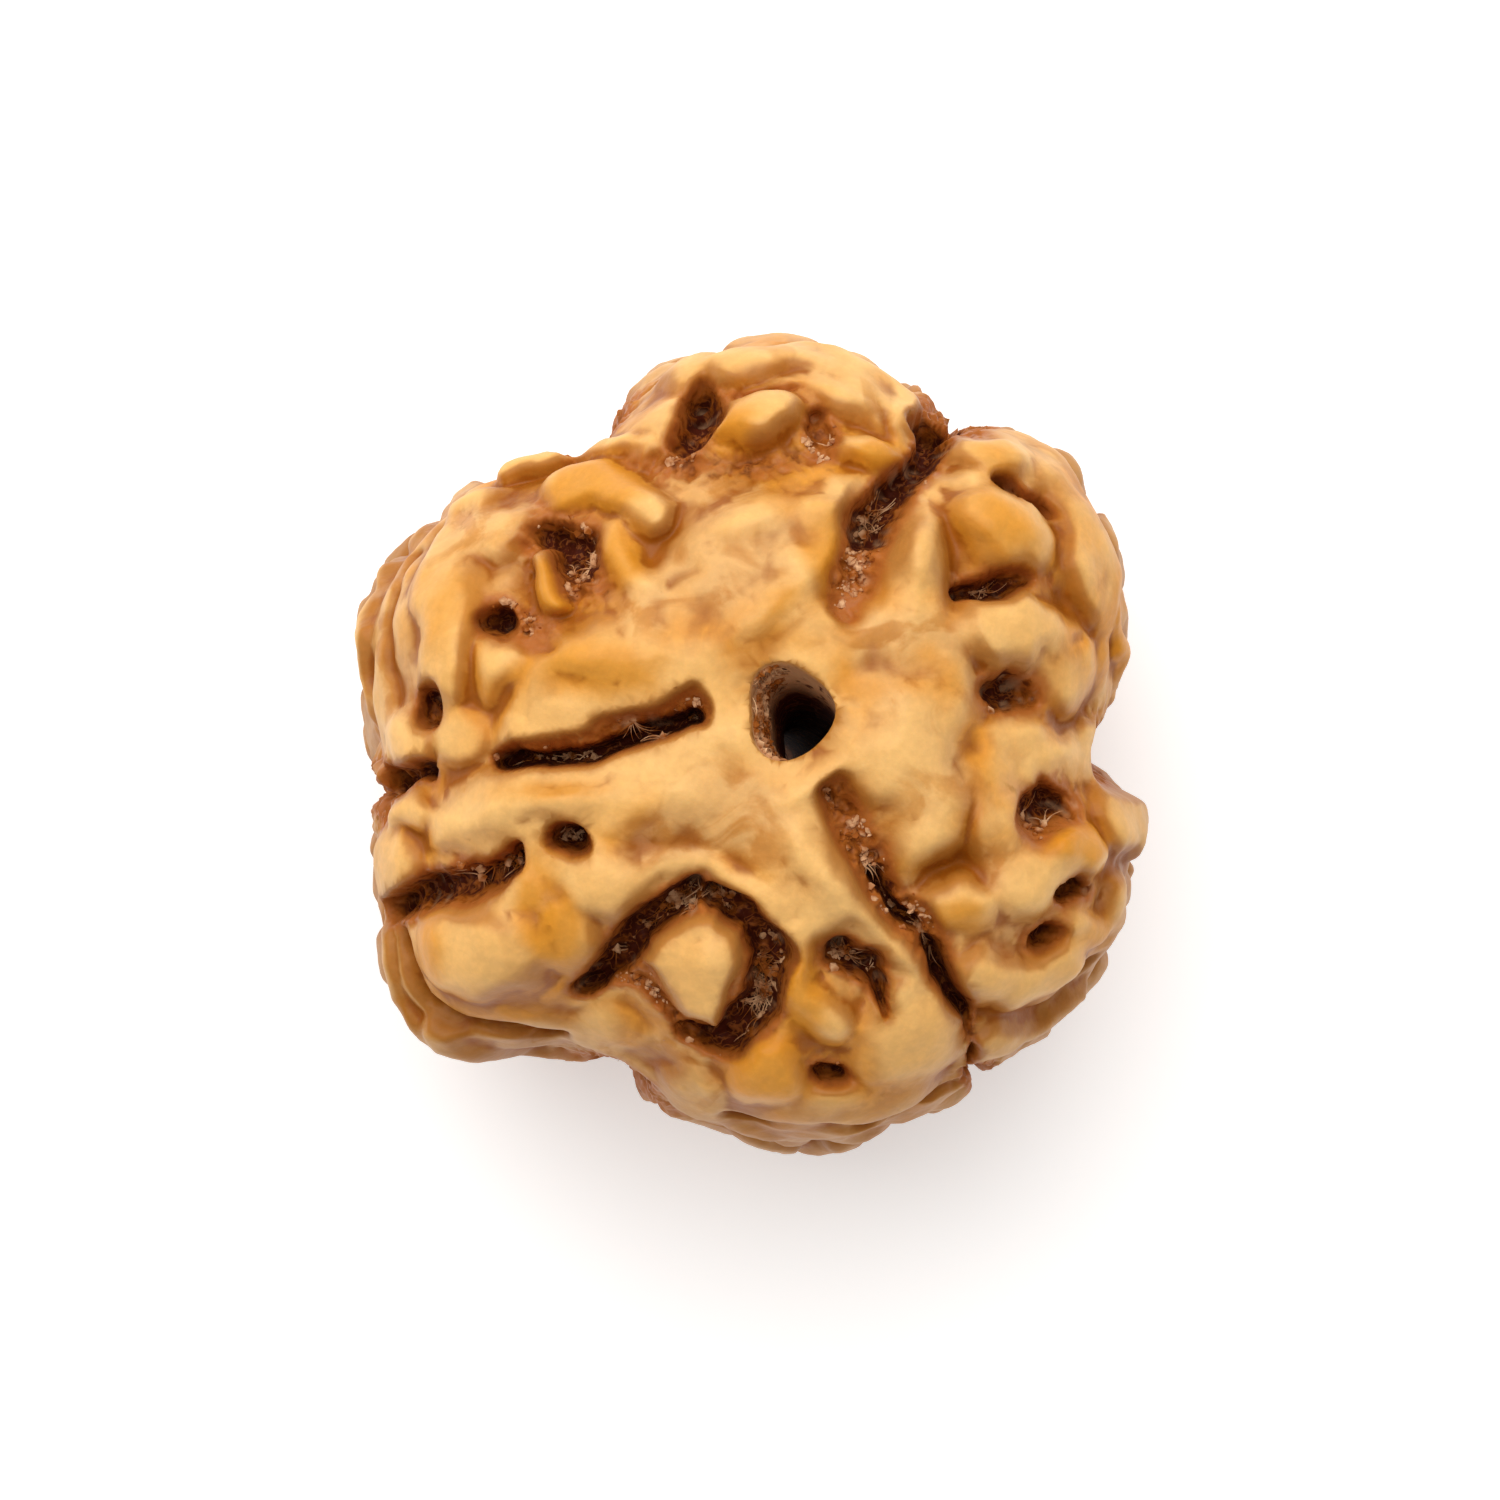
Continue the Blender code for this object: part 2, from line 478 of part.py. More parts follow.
def applied(thing):
    """The mesh that an object shows with its modifiers, kept, and the modifiers removed."""
    graph = bpy.context.evaluated_depsgraph_get()
    mesh = bpy.data.meshes.new_from_object(thing.evaluated_get(graph))
    thing.modifiers.clear()
    old, thing.data = thing.data, mesh
    bpy.data.meshes.remove(old)
    mesh.name = thing.name


def hole_cutter(collection):
    """A slanted, tapering, uneven tube through the bead, wide at both mouths."""
    reach = HALF_HEIGHT + 1.5
    shape = bmesh.new()
    bmesh.ops.create_cone(
        shape, cap_ends=True, cap_tris=True, segments=18, radius1=1.0, radius2=1.0, depth=2.0 * reach
    )
    upright = [edge for edge in shape.edges if abs(edge.verts[0].co.z - edge.verts[1].co.z) > reach]
    bmesh.ops.subdivide_edges(shape, edges=upright, cuts=13, use_grid_fill=True)
    for vertex in shape.verts:
        x, y, z = vertex.co
        angle = math.atan2(y, x)
        level = (z / HALF_HEIGHT + 1.0) / 2.0
        mouth = max(0.0, abs(z) / HALF_HEIGHT - 0.45) / 0.55
        radius = BORE_RADIUS + (MOUTH_RADIUS - BORE_RADIUS) * min(mouth, 1.2) ** 1.5
        radius *= 1.0 + 0.09 * math.cos(3.0 * angle - 0.2) + 0.07 * math.cos(2.0 * angle - 3.5)
        bend = 4.0 * level * (1.0 - level)
        middle_x = HOLE_FOOT[0] + (HOLE_MOUTH[0] - HOLE_FOOT[0]) * level + HOLE_BEND[0] * bend
        middle_y = HOLE_FOOT[1] + (HOLE_MOUTH[1] - HOLE_FOOT[1]) * level + HOLE_BEND[1] * bend
        vertex.co = Vector((middle_x + x * radius, middle_y + y * radius, z)) * MM
    return cutter("hole_cutter", shape, collection)


def floor_cutter(collection):
    """The block that levels the lowest knobs, so that the bead rests on a small flat spot."""
    shape = bmesh.new()
    block = Matrix.Diagonal((30 * MM, 30 * MM, 6 * MM, 1.0))
    place = Matrix.Translation((0.0, 0.0, (FLAT_SPOT - HALF_HEIGHT - 3.0) * MM))
    bmesh.ops.create_cube(shape, size=1.0, matrix=place @ block)
    return cutter("floor_cutter", shape, collection)


def cutter(name, shape, collection):
    mesh = bpy.data.meshes.new(name)
    shape.to_mesh(mesh)
    shape.free()
    thing = bpy.data.objects.new(name, mesh)
    collection.objects.link(thing)
    thing.display_type = "WIRE"
    thing.hide_render = True
    return thing


def dried_stone_material():
    """The dry, waxed stone: warm tan brown, a soft gloss."""
    material = bpy.data.materials.new("dried_fruit_stone")
    material.use_nodes = True
    shader = material.node_tree.nodes["Principled BSDF"]
    shader.inputs["Base Color"].default_value = (0.56, 0.27, 0.085, 1.0)
    shader.inputs["Roughness"].default_value = 0.42
    shader.inputs["Metallic"].default_value = 0.0
    return material


def main():
    for thing in list(bpy.data.objects):
        bpy.data.objects.remove(thing)
    model = bpy.data.collections.new("rudraksha_bead")
    tools = bpy.data.collections.new("cutters")
    for collection in (model, tools):
        bpy.context.scene.collection.children.link(collection)

    bead = bpy.data.objects.new("bead", bead_mesh())
    model.objects.link(bead)
    thin = bead.modifiers.new("thin", "DECIMATE")
    thin.ratio = TRIANGLES / len(bead.data.polygons)
    applied(bead)
    for tool in (hole_cutter(tools), floor_cutter(tools)):
        cut = bead.modifiers.new(tool.name, "BOOLEAN")
        cut.operation = "DIFFERENCE"
        cut.solver = "EXACT"
        cut.object = tool
        applied(bead)

    corners = np.array([vertex.co[:] for vertex in bead.data.vertices])
    low, high = corners.min(axis=0), corners.max(axis=0)
    origin = Vector(((low[0] + high[0]) / 2.0, (low[1] + high[1]) / 2.0, low[2]))
    bead.data.transform(Matrix.Translation(-origin))
    for tool in tools.objects:
        tool.data.transform(Matrix.Translation(-origin))
    bead.data.materials.clear()
    bead.data.materials.append(dried_stone_material())
    bead.data.shade_smooth()


main()
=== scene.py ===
import math

import bmesh
import bpy
import numpy as np
from bpy.props import FloatProperty, IntProperty, PointerProperty, StringProperty
from mathutils import Matrix, Vector
from mathutils import noise as fields


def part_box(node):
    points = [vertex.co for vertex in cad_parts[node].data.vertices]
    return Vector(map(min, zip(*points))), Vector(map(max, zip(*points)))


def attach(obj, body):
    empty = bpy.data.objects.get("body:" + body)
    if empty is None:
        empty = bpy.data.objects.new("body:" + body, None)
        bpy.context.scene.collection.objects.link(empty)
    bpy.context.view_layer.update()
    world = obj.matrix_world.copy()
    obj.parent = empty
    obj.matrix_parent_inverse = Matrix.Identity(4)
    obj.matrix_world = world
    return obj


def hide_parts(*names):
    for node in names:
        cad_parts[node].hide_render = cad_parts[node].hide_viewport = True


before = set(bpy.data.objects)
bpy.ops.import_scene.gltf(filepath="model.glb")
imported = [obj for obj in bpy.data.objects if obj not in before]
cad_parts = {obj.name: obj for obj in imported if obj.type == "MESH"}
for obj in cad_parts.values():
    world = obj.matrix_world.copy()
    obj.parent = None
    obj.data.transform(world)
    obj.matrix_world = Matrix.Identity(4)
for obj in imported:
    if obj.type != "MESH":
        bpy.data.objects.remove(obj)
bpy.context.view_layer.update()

bl_info = {
    "name": "Rudraksha bead",
    "version": (1, 0, 0),
    "blender": (4, 5, 0),
    "location": "View3D > Sidebar > Bead",
    "description": "The dried stone of a rudraksha fruit, with its knobs, ridges, pits, lines and lint",
    "category": "Object",
}

MM = 0.001

# Driving sizes in millimetres
HALF_HEIGHT = 8.9
SQUARENESS = 2.5
STEP_OF_RADII = 20.0
RADII = (
    9.2, 10.4, 11.05, 10.25, 10.6, 10.2, 9.15, 10.0, 10.6,
    9.9, 10.4, 11.35, 9.35, 9.85, 10.7, 10.65, 10.7, 10.65,
)
MEAN_RADIUS = 10.2
FLAT_SPOT = 0.45
FOOT_RADIUS = 3.6
HOLE_MOUTH = (0.88, 0.88)
HOLE_FOOT = (-0.5, -0.5)
HOLE_BEND = (1.2, -0.5)
MOUTH_RADIUS = 1.15
BORE_RADIUS = 0.75
MOUTH_HOLLOW = (1.6, 1.6, 0, -0.3)

# Levels over the plain body, in millimetres
UPPER_LEVEL = -0.5
LOWER_LEVEL = -0.85
KNOB_DROP = 0.9
SIDE_DROP = 1.2
PIT_RIM = -0.15
STAIN_REACH = 1.9
DEPTH_REACH = 2.6
NET_CELL = (2.2, 2.2, 3.0)
NET_MOOD = 2.4
NET_TOP = 3.2
NET_FADE = 6.5
NET_FURROW = 0.19
FURROW_DEPTH = 0.6
KNOT_DEPTH = 1.4
FOOT_LEVEL = -0.05
FOOT_DROP = 0.6
UPRIGHT = 0.75
UPRIGHT_FROM = 7.0
LIFT_BLEND = 0.4
CARVE_BLEND = 0.28

# Unevenness: its height, and the number and the length of the waves that it is the sum of
SWAY, SWAY_WAVES = 0.14, (9, 2.6)
QUIVER, QUIVER_WAVES = 0.05, (7, 1.0)
LUMPS, LUMP_WAVES = 0.1, (12, 2.2)
RIPPLE, RIPPLE_WAVES = 0.03, (14, 1.7)

# The three lines leave the top at these angles from +X, and the shallower valleys lie between them
LINE_ANGLES = (58.8, 187.5, -54.6)
LINE_MOUTHS = (1.1, 0.7, 0.45)
VALLEY_ANGLES = (119.0, 247.0, 0.5)

# The visible surface: its fineness, and the heights of what is too fine for the solid's facets
SPHERE_LEVEL = 8
TRIANGLES = 190000
SWELL_RISE = 1.5
SWELL, SWELL_PACE = 0.2, 0.5
DENT, DENT_PACE, FINE_PACE = 0.09, 1.2, 3.6
CRUMBLE, CRUMBLE_PACE = 0.26, 2.3
HOLE_WALL = 0.25
INSIDE_BOX = 0.9995
NEAR_ROUNDS, WIDE_ROUNDS = 12, 110
SEED = 108

# Where lint lies: how high over the waist, the levels that it lies at, and the size of its clumps
LINT_OVER_WAIST = 5.3
LINT_STAIN = 0.78
LINT_CLUMP = 0.9
DEEP_LEVELS = (-4.0, -1.0)
BANK_LEVELS = (-1.6, -0.6)
WALL_LEVELS = (-1.7, -0.45)
LEFT_OF_MOUTH = 0.2
FIBRE_ARCH = 0.12
FIBRE_ROOT = 0.04

# The stage: the light table's half-width and the lamp in metres, the view's middle in millimetres
TABLE_REACH = 1.5
TABLE_GLOW = 0.34
LAMP_PLACE = (-0.05, 0.17, 0.29)
LAMP_SIZE = 0.42
LAMP_COLOUR = (1.0, 0.98, 0.95)
VIEW_MIDDLE_Y = -0.125


def body_reach(direction):
    """Distance from the middle to the plain body along unit directions, one row each."""
    azimuth = np.degrees(np.arctan2(direction[:, 1], direction[:, 0])) % 360.0
    place = azimuth / STEP_OF_RADII
    index = np.floor(place).astype(int)
    share = place - index
    radii = np.array(RADII)
    count = len(RADII)
    before, here = radii[(index - 1) % count], radii[index % count]
    after, beyond = radii[(index + 1) % count], radii[(index + 2) % count]
    slope_here, slope_after = (after - before) / 2.0, (beyond - here) / 2.0
    turn = share * share * (3.0 - 2.0 * share)
    radius = here + (after - here) * turn
    radius = radius + slope_here * share * (1.0 - share) ** 2 - slope_after * share**2 * (1.0 - share)
    flat = np.hypot(direction[:, 0], direction[:, 1]) / radius
    high = np.abs(direction[:, 2]) / HALF_HEIGHT
    return (flat**SQUARENESS + high**SQUARENESS) ** (-1.0 / SQUARENESS)


def on_top(x, y):
    """The point of the plain body's upper side over a place in plan."""
    flat = math.hypot(x, y)
    heading = np.array([[x / max(flat, 1e-6), y / max(flat, 1e-6), 0.0]])
    edge = float(body_reach(heading)[0])
    share = min(flat / edge, 0.999)
    height = HALF_HEIGHT * (1.0 - share**SQUARENESS) ** (1.0 / SQUARENESS)
    return np.array([x * share * edge / max(flat, 1e-6), y * share * edge / max(flat, 1e-6), height])


def on_side(azimuth, latitude):
    """The point of the plain body at an angle round the axis and an angle over its middle, in degrees."""
    a, b = math.radians(azimuth), math.radians(latitude)
    heading = np.array([[math.cos(b) * math.cos(a), math.cos(b) * math.sin(a), math.sin(b)]])
    return heading[0] * body_reach(heading)[0]


def waves(points, rng, count, length):
    """Smooth noise, mostly between -1 and 1: a sum of sine waves in random directions."""
    total = np.zeros(len(points))
    for _ in range(count):
        heading = rng.normal(size=3)
        heading /= np.linalg.norm(heading)
        pace = 2.0 * math.pi / (length * rng.uniform(0.7, 1.4))
        total += np.sin(points @ heading * pace + rng.uniform(0.0, 2.0 * math.pi))
    return total / math.sqrt(count)


def rise_axes(places):
    """The way that relief rises: outward on the sides and below, nearly upright on the upper side."""
    heading = places / np.linalg.norm(places, axis=1)[:, None]
    share = np.clip(places[:, 2] / UPRIGHT_FROM, 0.0, 1.0)
    share = UPRIGHT * share * share * (3.0 - 2.0 * share)
    axes = heading * (1.0 - share)[:, None]
    axes[:, 2] += share
    return axes / np.linalg.norm(axes, axis=1)[:, None]


class Relief:
    """Heights over the plain body, shaped by one knob, ridge, pit or groove after another."""

    def __init__(self, points):
        rng = np.random.default_rng(SEED)
        sway = np.stack([waves(points, rng, *SWAY_WAVES) for _ in range(3)], axis=1)
        quiver = np.stack([waves(points, rng, *QUIVER_WAVES) for _ in range(3)], axis=1)
        self.points = points + SWAY * sway + QUIVER * quiver
        upper = np.clip(0.5 + points[:, 2] / 6.0, 0.0, 1.0)
        self.height = LOWER_LEVEL + (UPPER_LEVEL - LOWER_LEVEL) * upper
        self.height = self.height + LUMPS * waves(points, rng, *LUMP_WAVES)
        self.ripple = RIPPLE * waves(points, rng, *RIPPLE_WAVES)
        self.stain = np.zeros(len(points))

    def lift(self, near, level):
        """Raise the surface to a level, with a soft join."""
        old = self.height[near]
        share = np.clip(0.5 + 0.5 * (level - old) / LIFT_BLEND, 0.0, 1.0)
        self.height[near] = old + (level - old) * share + LIFT_BLEND * share * (1.0 - share)

    def carve(self, near, level):
        """Lower the surface to a level, with a soft join."""
        old = self.height[near]
        share = np.clip(0.5 + 0.5 * (old - level) / CARVE_BLEND, 0.0, 1.0)
        self.height[near] = old + (level - old) * share - CARVE_BLEND * share * (1.0 - share)

    def sink(self, near, out, floor, power):
        """Carve a pit, a groove or a line down to its floor, with the brown stain round it."""
        self.carve(near, floor + (PIT_RIM - floor) * out**power)
        self.stain[near] = np.maximum(self.stain[near], np.clip(1.8 - 1.8 * out / STAIN_REACH, 0.0, 1.0))

    def oval(self, centre, axes, sizes, reach=2.0):
        """The points near an oval, and how far out each is, 1 at its edge."""
        offset = self.points - centre
        out = np.zeros(len(offset))
        for axis, size in zip(axes, sizes):
            out += (offset @ axis / size) ** 2
        near = np.nonzero((out < reach**2) & (self.points @ centre > 0.0))[0]
        return near, np.sqrt(out[near])

    def plan_oval(self, x, y, length, width, turn):
        """An oval on the upper side, as seen from above, turned from +X in degrees."""
        c, s = math.cos(math.radians(turn)), math.sin(math.radians(turn))
        axes = (np.array([c, s, 0.0]), np.array([-s, c, 0.0]), np.array([0.0, 0.0, 1.0]))
        return self.oval(on_top(x, y), axes, (length, width, DEPTH_REACH))

    def side_oval(self, azimuth, latitude, length, width, turn):
        """An oval on the side or the underside, turned from the level direction in degrees."""
        centre = on_side(azimuth, latitude)
        out = centre / np.linalg.norm(centre)
        level = np.cross([0.0, 0.0, 1.0], out)
        level /= max(np.linalg.norm(level), 1e-9)
        rise = np.cross(out, level)
        c, s = math.cos(math.radians(turn)), math.sin(math.radians(turn))
        return self.oval(centre, (c * level + s * rise, c * rise - s * level), (length, width))

    def along(self, stand, places, widths):
        """The points near a route over the body, and how far out each is, 1 at its edge."""
        route = np.array([stand(*place) for place in places])
        widths = widths_of(widths, len(route))
        reach = 2.0 * max(widths)
        low, high = route.min(axis=0) - reach, route.max(axis=0) + reach
        near = np.nonzero(((self.points > low) & (self.points < high)).all(axis=1))[0]
        points = self.points[near]
        out = np.full(len(near), 9.0)
        for start, end, w0, w1 in zip(route[:-1], route[1:], widths[:-1], widths[1:]):
            run = end - start
            share = np.clip((points - start) @ run / (run @ run), 0.0, 1.0)
            gap = np.linalg.norm(points - start - share[:, None] * run, axis=1)
            out = np.minimum(out, gap / (w0 + (w1 - w0) * share))
        return near, out

    def knob(self, x, y, length, width, turn, top, power=3.0):
        near, out = self.plan_oval(x, y, length, width, turn)
        self.lift(near, top - KNOB_DROP * out**power)

    def pit(self, x, y, length, width, turn, floor, power=2.6):
        near, out = self.plan_oval(x, y, length, width, turn)
        self.sink(near, out, floor, power)

    def ridge(self, places, widths, top, power=2.6):
        near, out = self.along(on_top, places, widths)
        self.lift(near, top - KNOB_DROP * out**power)

    def groove(self, places, widths, floor, power=2.4):
        near, out = self.along(on_top, places, widths)
        self.sink(near, out, floor, power)

    def crease(self, places, widths, floor, stain_and_shade=0.0):
        """A soft furrow, with as much stain as it is given; along a furrow the stain is partly real and
        partly painted shade.
        """
        near, out = self.along(on_top, places, widths)
        cover = np.exp(-1.5 * out**2) * np.clip(2.0 - out, 0.0, 1.0)
        self.height[near] += floor * cover
        self.stain[near] = np.maximum(self.stain[near], stain_and_shade * cover)

    def plateau(self, outline, top, shoulder, drop=0.5):
        """A level area of the upper side, inside an outline in plan, with a rounded edge."""
        near = np.nonzero(self.points[:, 2] > 0.0)[0]
        x, y = self.points[near, 0], self.points[near, 1]
        inside = np.zeros(len(near), dtype=bool)
        gap = np.full(len(near), 99.0)
        for (x0, y0), (x1, y1) in zip(outline, outline[1:] + outline[:1]):
            run_x, run_y = x1 - x0, y1 - y0
            share = np.clip(((x - x0) * run_x + (y - y0) * run_y) / (run_x**2 + run_y**2), 0.0, 1.0)
            gap = np.minimum(gap, np.hypot(x - x0 - share * run_x, y - y0 - share * run_y))
            if y0 != y1:
                inside ^= ((y0 > y) != (y1 > y)) & (x < x0 + run_x * (y - y0) / run_y)
        out = np.clip(1.0 + np.where(inside, -gap, gap) / shoulder, 0.0, 3.0)
        self.lift(near, top - drop * out**3)

    def swell(self, x, y, length, width, turn, rise):
        """A gentle rise or, below zero, a gentle dip."""
        near, out = self.plan_oval(x, y, length, width, turn)
        self.height[near] += SWELL_RISE * rise * np.exp(-1.5 * out**2) * (1.0 - (out / 2.0) ** 2)

    def side_knob(self, azimuth, latitude, length, width, turn, top, power=2.8):
        near, out = self.side_oval(azimuth, latitude, length, width, turn)
        self.lift(near, top - SIDE_DROP * out**power)

    def side_groove(self, places, widths, floor):
        near, out = self.along(on_side, places, widths)
        self.sink(near, out, floor, 2.0)


def widths_of(widths, count):
    """One half-width for each point of a route, from one number or a few from its start to its end."""
    if isinstance(widths, (int, float)):
        return np.full(count, float(widths))
    return np.interp(np.linspace(0.0, 1.0, count), np.linspace(0.0, 1.0, len(widths)), widths)


def hidden_net(relief):
    """The net of knobs and furrows round the side and the underside, with a pit wherever furrows meet."""
    near = np.nonzero(relief.points[:, 2] < NET_TOP)[0]
    points = relief.points[near]
    gaps = np.array([fields.voronoi(Vector(spot))[0][:3] for spot in points / NET_CELL])
    mood = np.array([fields.noise(Vector(spot)) for spot in points / NET_MOOD])
    furrow, knot = (np.exp(-(((gaps[:, order] - gaps[:, 0]) / NET_FURROW) ** 2)) for order in (1, 2))
    furrow = furrow * np.clip(0.55 + 1.3 * mood, 0.12, 1.0)
    knot = knot * np.clip(0.6 - mood, 0.0, 1.0)
    net = 0.04 - 0.3 * gaps[:, 0] ** 2 + 0.2 * mood - FURROW_DEPTH * furrow - KNOT_DEPTH * knot
    share = np.clip((NET_TOP - points[:, 2]) / NET_FADE, 0.0, 1.0)
    share = share * share * (3.0 - 2.0 * share)
    relief.height[near] += (net - relief.height[near]) * share
    relief.stain[near] = np.maximum(relief.stain[near], share * np.maximum(0.45 * furrow, knot))


def foot(relief):
    """The low collar round the lower mouth of the hole, which the bead rests on."""
    below = np.nonzero(relief.points[:, 2] < 0.0)[0]
    out = np.hypot(relief.points[below, 0], relief.points[below, 1]) / FOOT_RADIUS
    relief.lift(below, FOOT_LEVEL - FOOT_DROP * out**4)


def side_lines(relief):
    """The three lines and the three valleys between them, down the side to the lower mouth of the hole."""
    rng = np.random.default_rng(SEED + 3)
    for angle in VALLEY_ANGLES:
        places = [(angle + rng.uniform(-3, 3), latitude) for latitude in (22, 8, -4, -18, -36, -52)]
        relief.side_groove(places, (0.9, 1.5, 1.3, 0.8, 0.5), -1.2)
    for angle, mouth in zip(LINE_ANGLES, LINE_MOUTHS):
        for side in (-1, 1):
            for latitude in (-16, -30, -44, -58):
                place = angle + side * 7.4 / math.cos(math.radians(latitude))
                top = rng.uniform(-0.1, 0.1)
                relief.side_knob(place, latitude + rng.uniform(-3, 3), 1.9, 0.85, 90 + 8 * side, top)
        latitudes = (22, 10, 0, -15, -30, -45, -60, -76)
        places = [(angle + rng.uniform(-1.6, 1.6), latitude) for latitude in latitudes]
        relief.side_groove(places, (mouth, mouth, 1.0, 0.9), -0.9)
        relief.side_groove(places, (0.3, 0.3, 0.45, 0.42, 0.55), -2.1)


MAIN_PLATEAU = [
    (-6.2, -0.3), (-6.3, 1.2), (-5.0, 2.7), (-3.4, 3.3), (-2.6, 4.2), (-2.0, 5.2), (-1.4, 5.9), (0.3, 6.2),
    (2.5, 6.5), (2.6, 5.9), (2.3, 4.9), (1.9, 3.6), (2.3, 3.0), (2.9, 3.6), (3.4, 4.9), (3.9, 5.6),
    (4.4, 6.05), (4.8, 5.4), (5.0, 4.1), (5.2, 2.6), (5.6, 0.6), (5.6, -0.8), (5.3, -2.4), (4.6, -3.1),
    (3.8, -2.9), (3.1, -1.6), (2.4, -0.8), (1.9, -1.1), (2.5, -2.9), (3.4, -4.6), (4.4, -6.1), (3.4, -5.6),
    (2.3, -4.6), (1.2, -5.0), (0.3, -4.4), (-1.2, -3.4), (-2.2, -3.3), (-3.2, -4.4), (-4.6, -4.6),
    (-5.4, -3.2), (-6.75, -2.7), (-8.0, -2.5), (-8.2, -1.6), (-7.5, -1.0),
]
MAIN_SWELLS = (
    (-3.9, 2.2, 2.6, 0.8, 3, 0.28), (-1.4, 1.9, 1.4, 0.8, -10, 0.12), (-1.5, 4.9, 1.2, 0.8, 40, -0.12),
    (2.0, 5.9, 0.8, 0.6, 20, 0.22), (0.7, 3.7, 1.8, 0.6, 42, 0.2), (-0.2, 5.3, 1.4, 0.5, 10, 0.1),
    (4.2, 4.7, 1.5, 0.55, 78, 0.28), (4.0, -0.2, 2.5, 1.2, 92, 0.25), (3.0, 1.8, 1.2, 0.5, 20, -0.1),
    (-4.9, -1.5, 3.2, 0.6, 5, 0.25), (-6.6, -2.0, 1.2, 0.7, 0, 0.15), (-1.9, -2.5, 1.8, 0.7, -8, -0.22),
    (-4.0, -3.6, 1.0, 0.8, 0, 0.12), (1.6, -3.0, 1.9, 0.6, -60, 0.22),
    (-0.2, -3.0, 0.8, 0.4, -35, -0.1), (1.6, -0.9, 1.4, 0.4, 25, 0.14),
)


def main_plateau(relief):
    """The broad level middle, which the lines and the hole are sunk in, with its soft swells and dips."""
    relief.plateau(MAIN_PLATEAU, 0.02, 0.9)
    for swell in MAIN_SWELLS:
        relief.swell(*swell)


def upper_left_segment(relief):
    """Between the left line and the upper right one: shoulder, gold knob and the left line's bank."""
    relief.ridge([(-9.7, 4.7), (-9.9, 2.8), (-9.8, 0.8)], 0.6, -0.12)
    relief.ridge([(-7.0, 5.9), (-7.7, 4.4), (-7.6, 2.9), (-7.7, 1.7)], (1.2, 1.25, 1.0), 0.12, 4)
    relief.knob(-6.4, 5.4, 1.3, 1.0, 30, 0.0, 4)
    relief.knob(-6.2, 1.9, 1.2, 0.9, 70, -0.05, 4)
    relief.ridge([(-4.6, 6.6), (-3.6, 6.45), (-2.4, 5.7)], (0.95, 0.95, 0.6), 0.28)
    relief.ridge([(-6.0, 6.9), (-4.2, 7.6), (-2.8, 7.3)], 0.7, 0.1)
    relief.ridge([(-3.4, 5.1), (-2.6, 3.9)], 0.75, 0.06)
    relief.knob(-8.5, 0.1, 1.0, 0.9, 90, 0.05, 4)
    relief.knob(-7.1, 0.3, 1.1, 0.9, -12, -0.02, 4)
    relief.knob(-9.6, -0.8, 0.5, 0.4, 90, -0.15)
    relief.crease([(-8.7, 5.0), (-9.15, 2.8), (-8.9, 1.3)], 0.35, -0.25)


def top_lobe(relief):
    """The lobe at the top of the page: its cap, the block knob and the small knob beside the line."""
    relief.knob(-1.5, 9.5, 1.2, 0.9, 15, -0.05, 4)
    relief.ridge([(-0.3, 9.6), (1.2, 9.8), (2.9, 9.2), (4.1, 8.3)], (1.0, 1.15, 0.95), 0.1, 4)
    relief.knob(2.6, 8.9, 1.6, 0.9, -20, 0.0, 4)
    relief.knob(0.15, 8.2, 1.25, 0.8, 0, 0.42, 5)
    relief.knob(2.75, 7.35, 0.7, 0.85, 90, 0.22)
    relief.ridge([(2.9, 7.3), (4.0, 8.3)], 0.4, 0.0)
    relief.knob(-2.3, 8.0, 1.0, 1.4, -20, -0.2, 4)


RIGHT_KNOBS = (
    (6.1, -1.4, 0.9, 2.0, 0, -0.05, 4), (5.15, -4.0, 1.35, 1.0, -8, 0.15),
    (6.7, -3.3, 1.4, 1.2, 10, -0.02, 4), (8.2, -2.6, 1.3, 0.7, 15, 0.2),
    (9.4, -1.6, 1.5, 1.1, 92, 0.35, 4), (9.3, -4.0, 1.2, 0.8, 90, -0.05),
    (8.5, -4.6, 1.0, 0.7, 0, -0.05),
)


def right_segment(relief):
    """Between the upper right line and the lower right one: stacked ridges, long plateau and knobs."""
    relief.knob(5.95, 7.2, 1.35, 0.85, -25, 0.38)
    relief.knob(7.3, 7.2, 1.9, 1.0, -40, -0.05, 4)
    relief.knob(6.2, 5.5, 1.75, 1.1, -33, 0.5)
    relief.knob(6.5, 2.8, 2.0, 1.0, -2, 0.35, 4)
    relief.swell(6.75, 3.7, 0.7, 0.5, 0, 0.2)
    relief.knob(8.6, 4.8, 2.3, 1.4, 100, 0.1, 4)
    relief.ridge([(9.3, 3.4), (9.5, 2.4), (9.3, 1.3)], 0.45, -0.15)
    relief.knob(8.0, 2.0, 1.4, 1.1, 100, 0.0, 4)
    relief.ridge([(5.6, -0.4), (7.2, 0.0), (8.7, -0.3)], (1.1, 1.0, 0.9), 0.0)
    for knob in RIGHT_KNOBS:
        relief.knob(*knob)
    relief.ridge([(5.5, -5.7), (6.6, -6.0), (8.0, -5.4)], (0.8, 1.05, 0.9), 0.18)
    relief.ridge([(6.0, -7.3), (7.2, -7.4), (8.4, -6.5)], 0.7, -0.12)


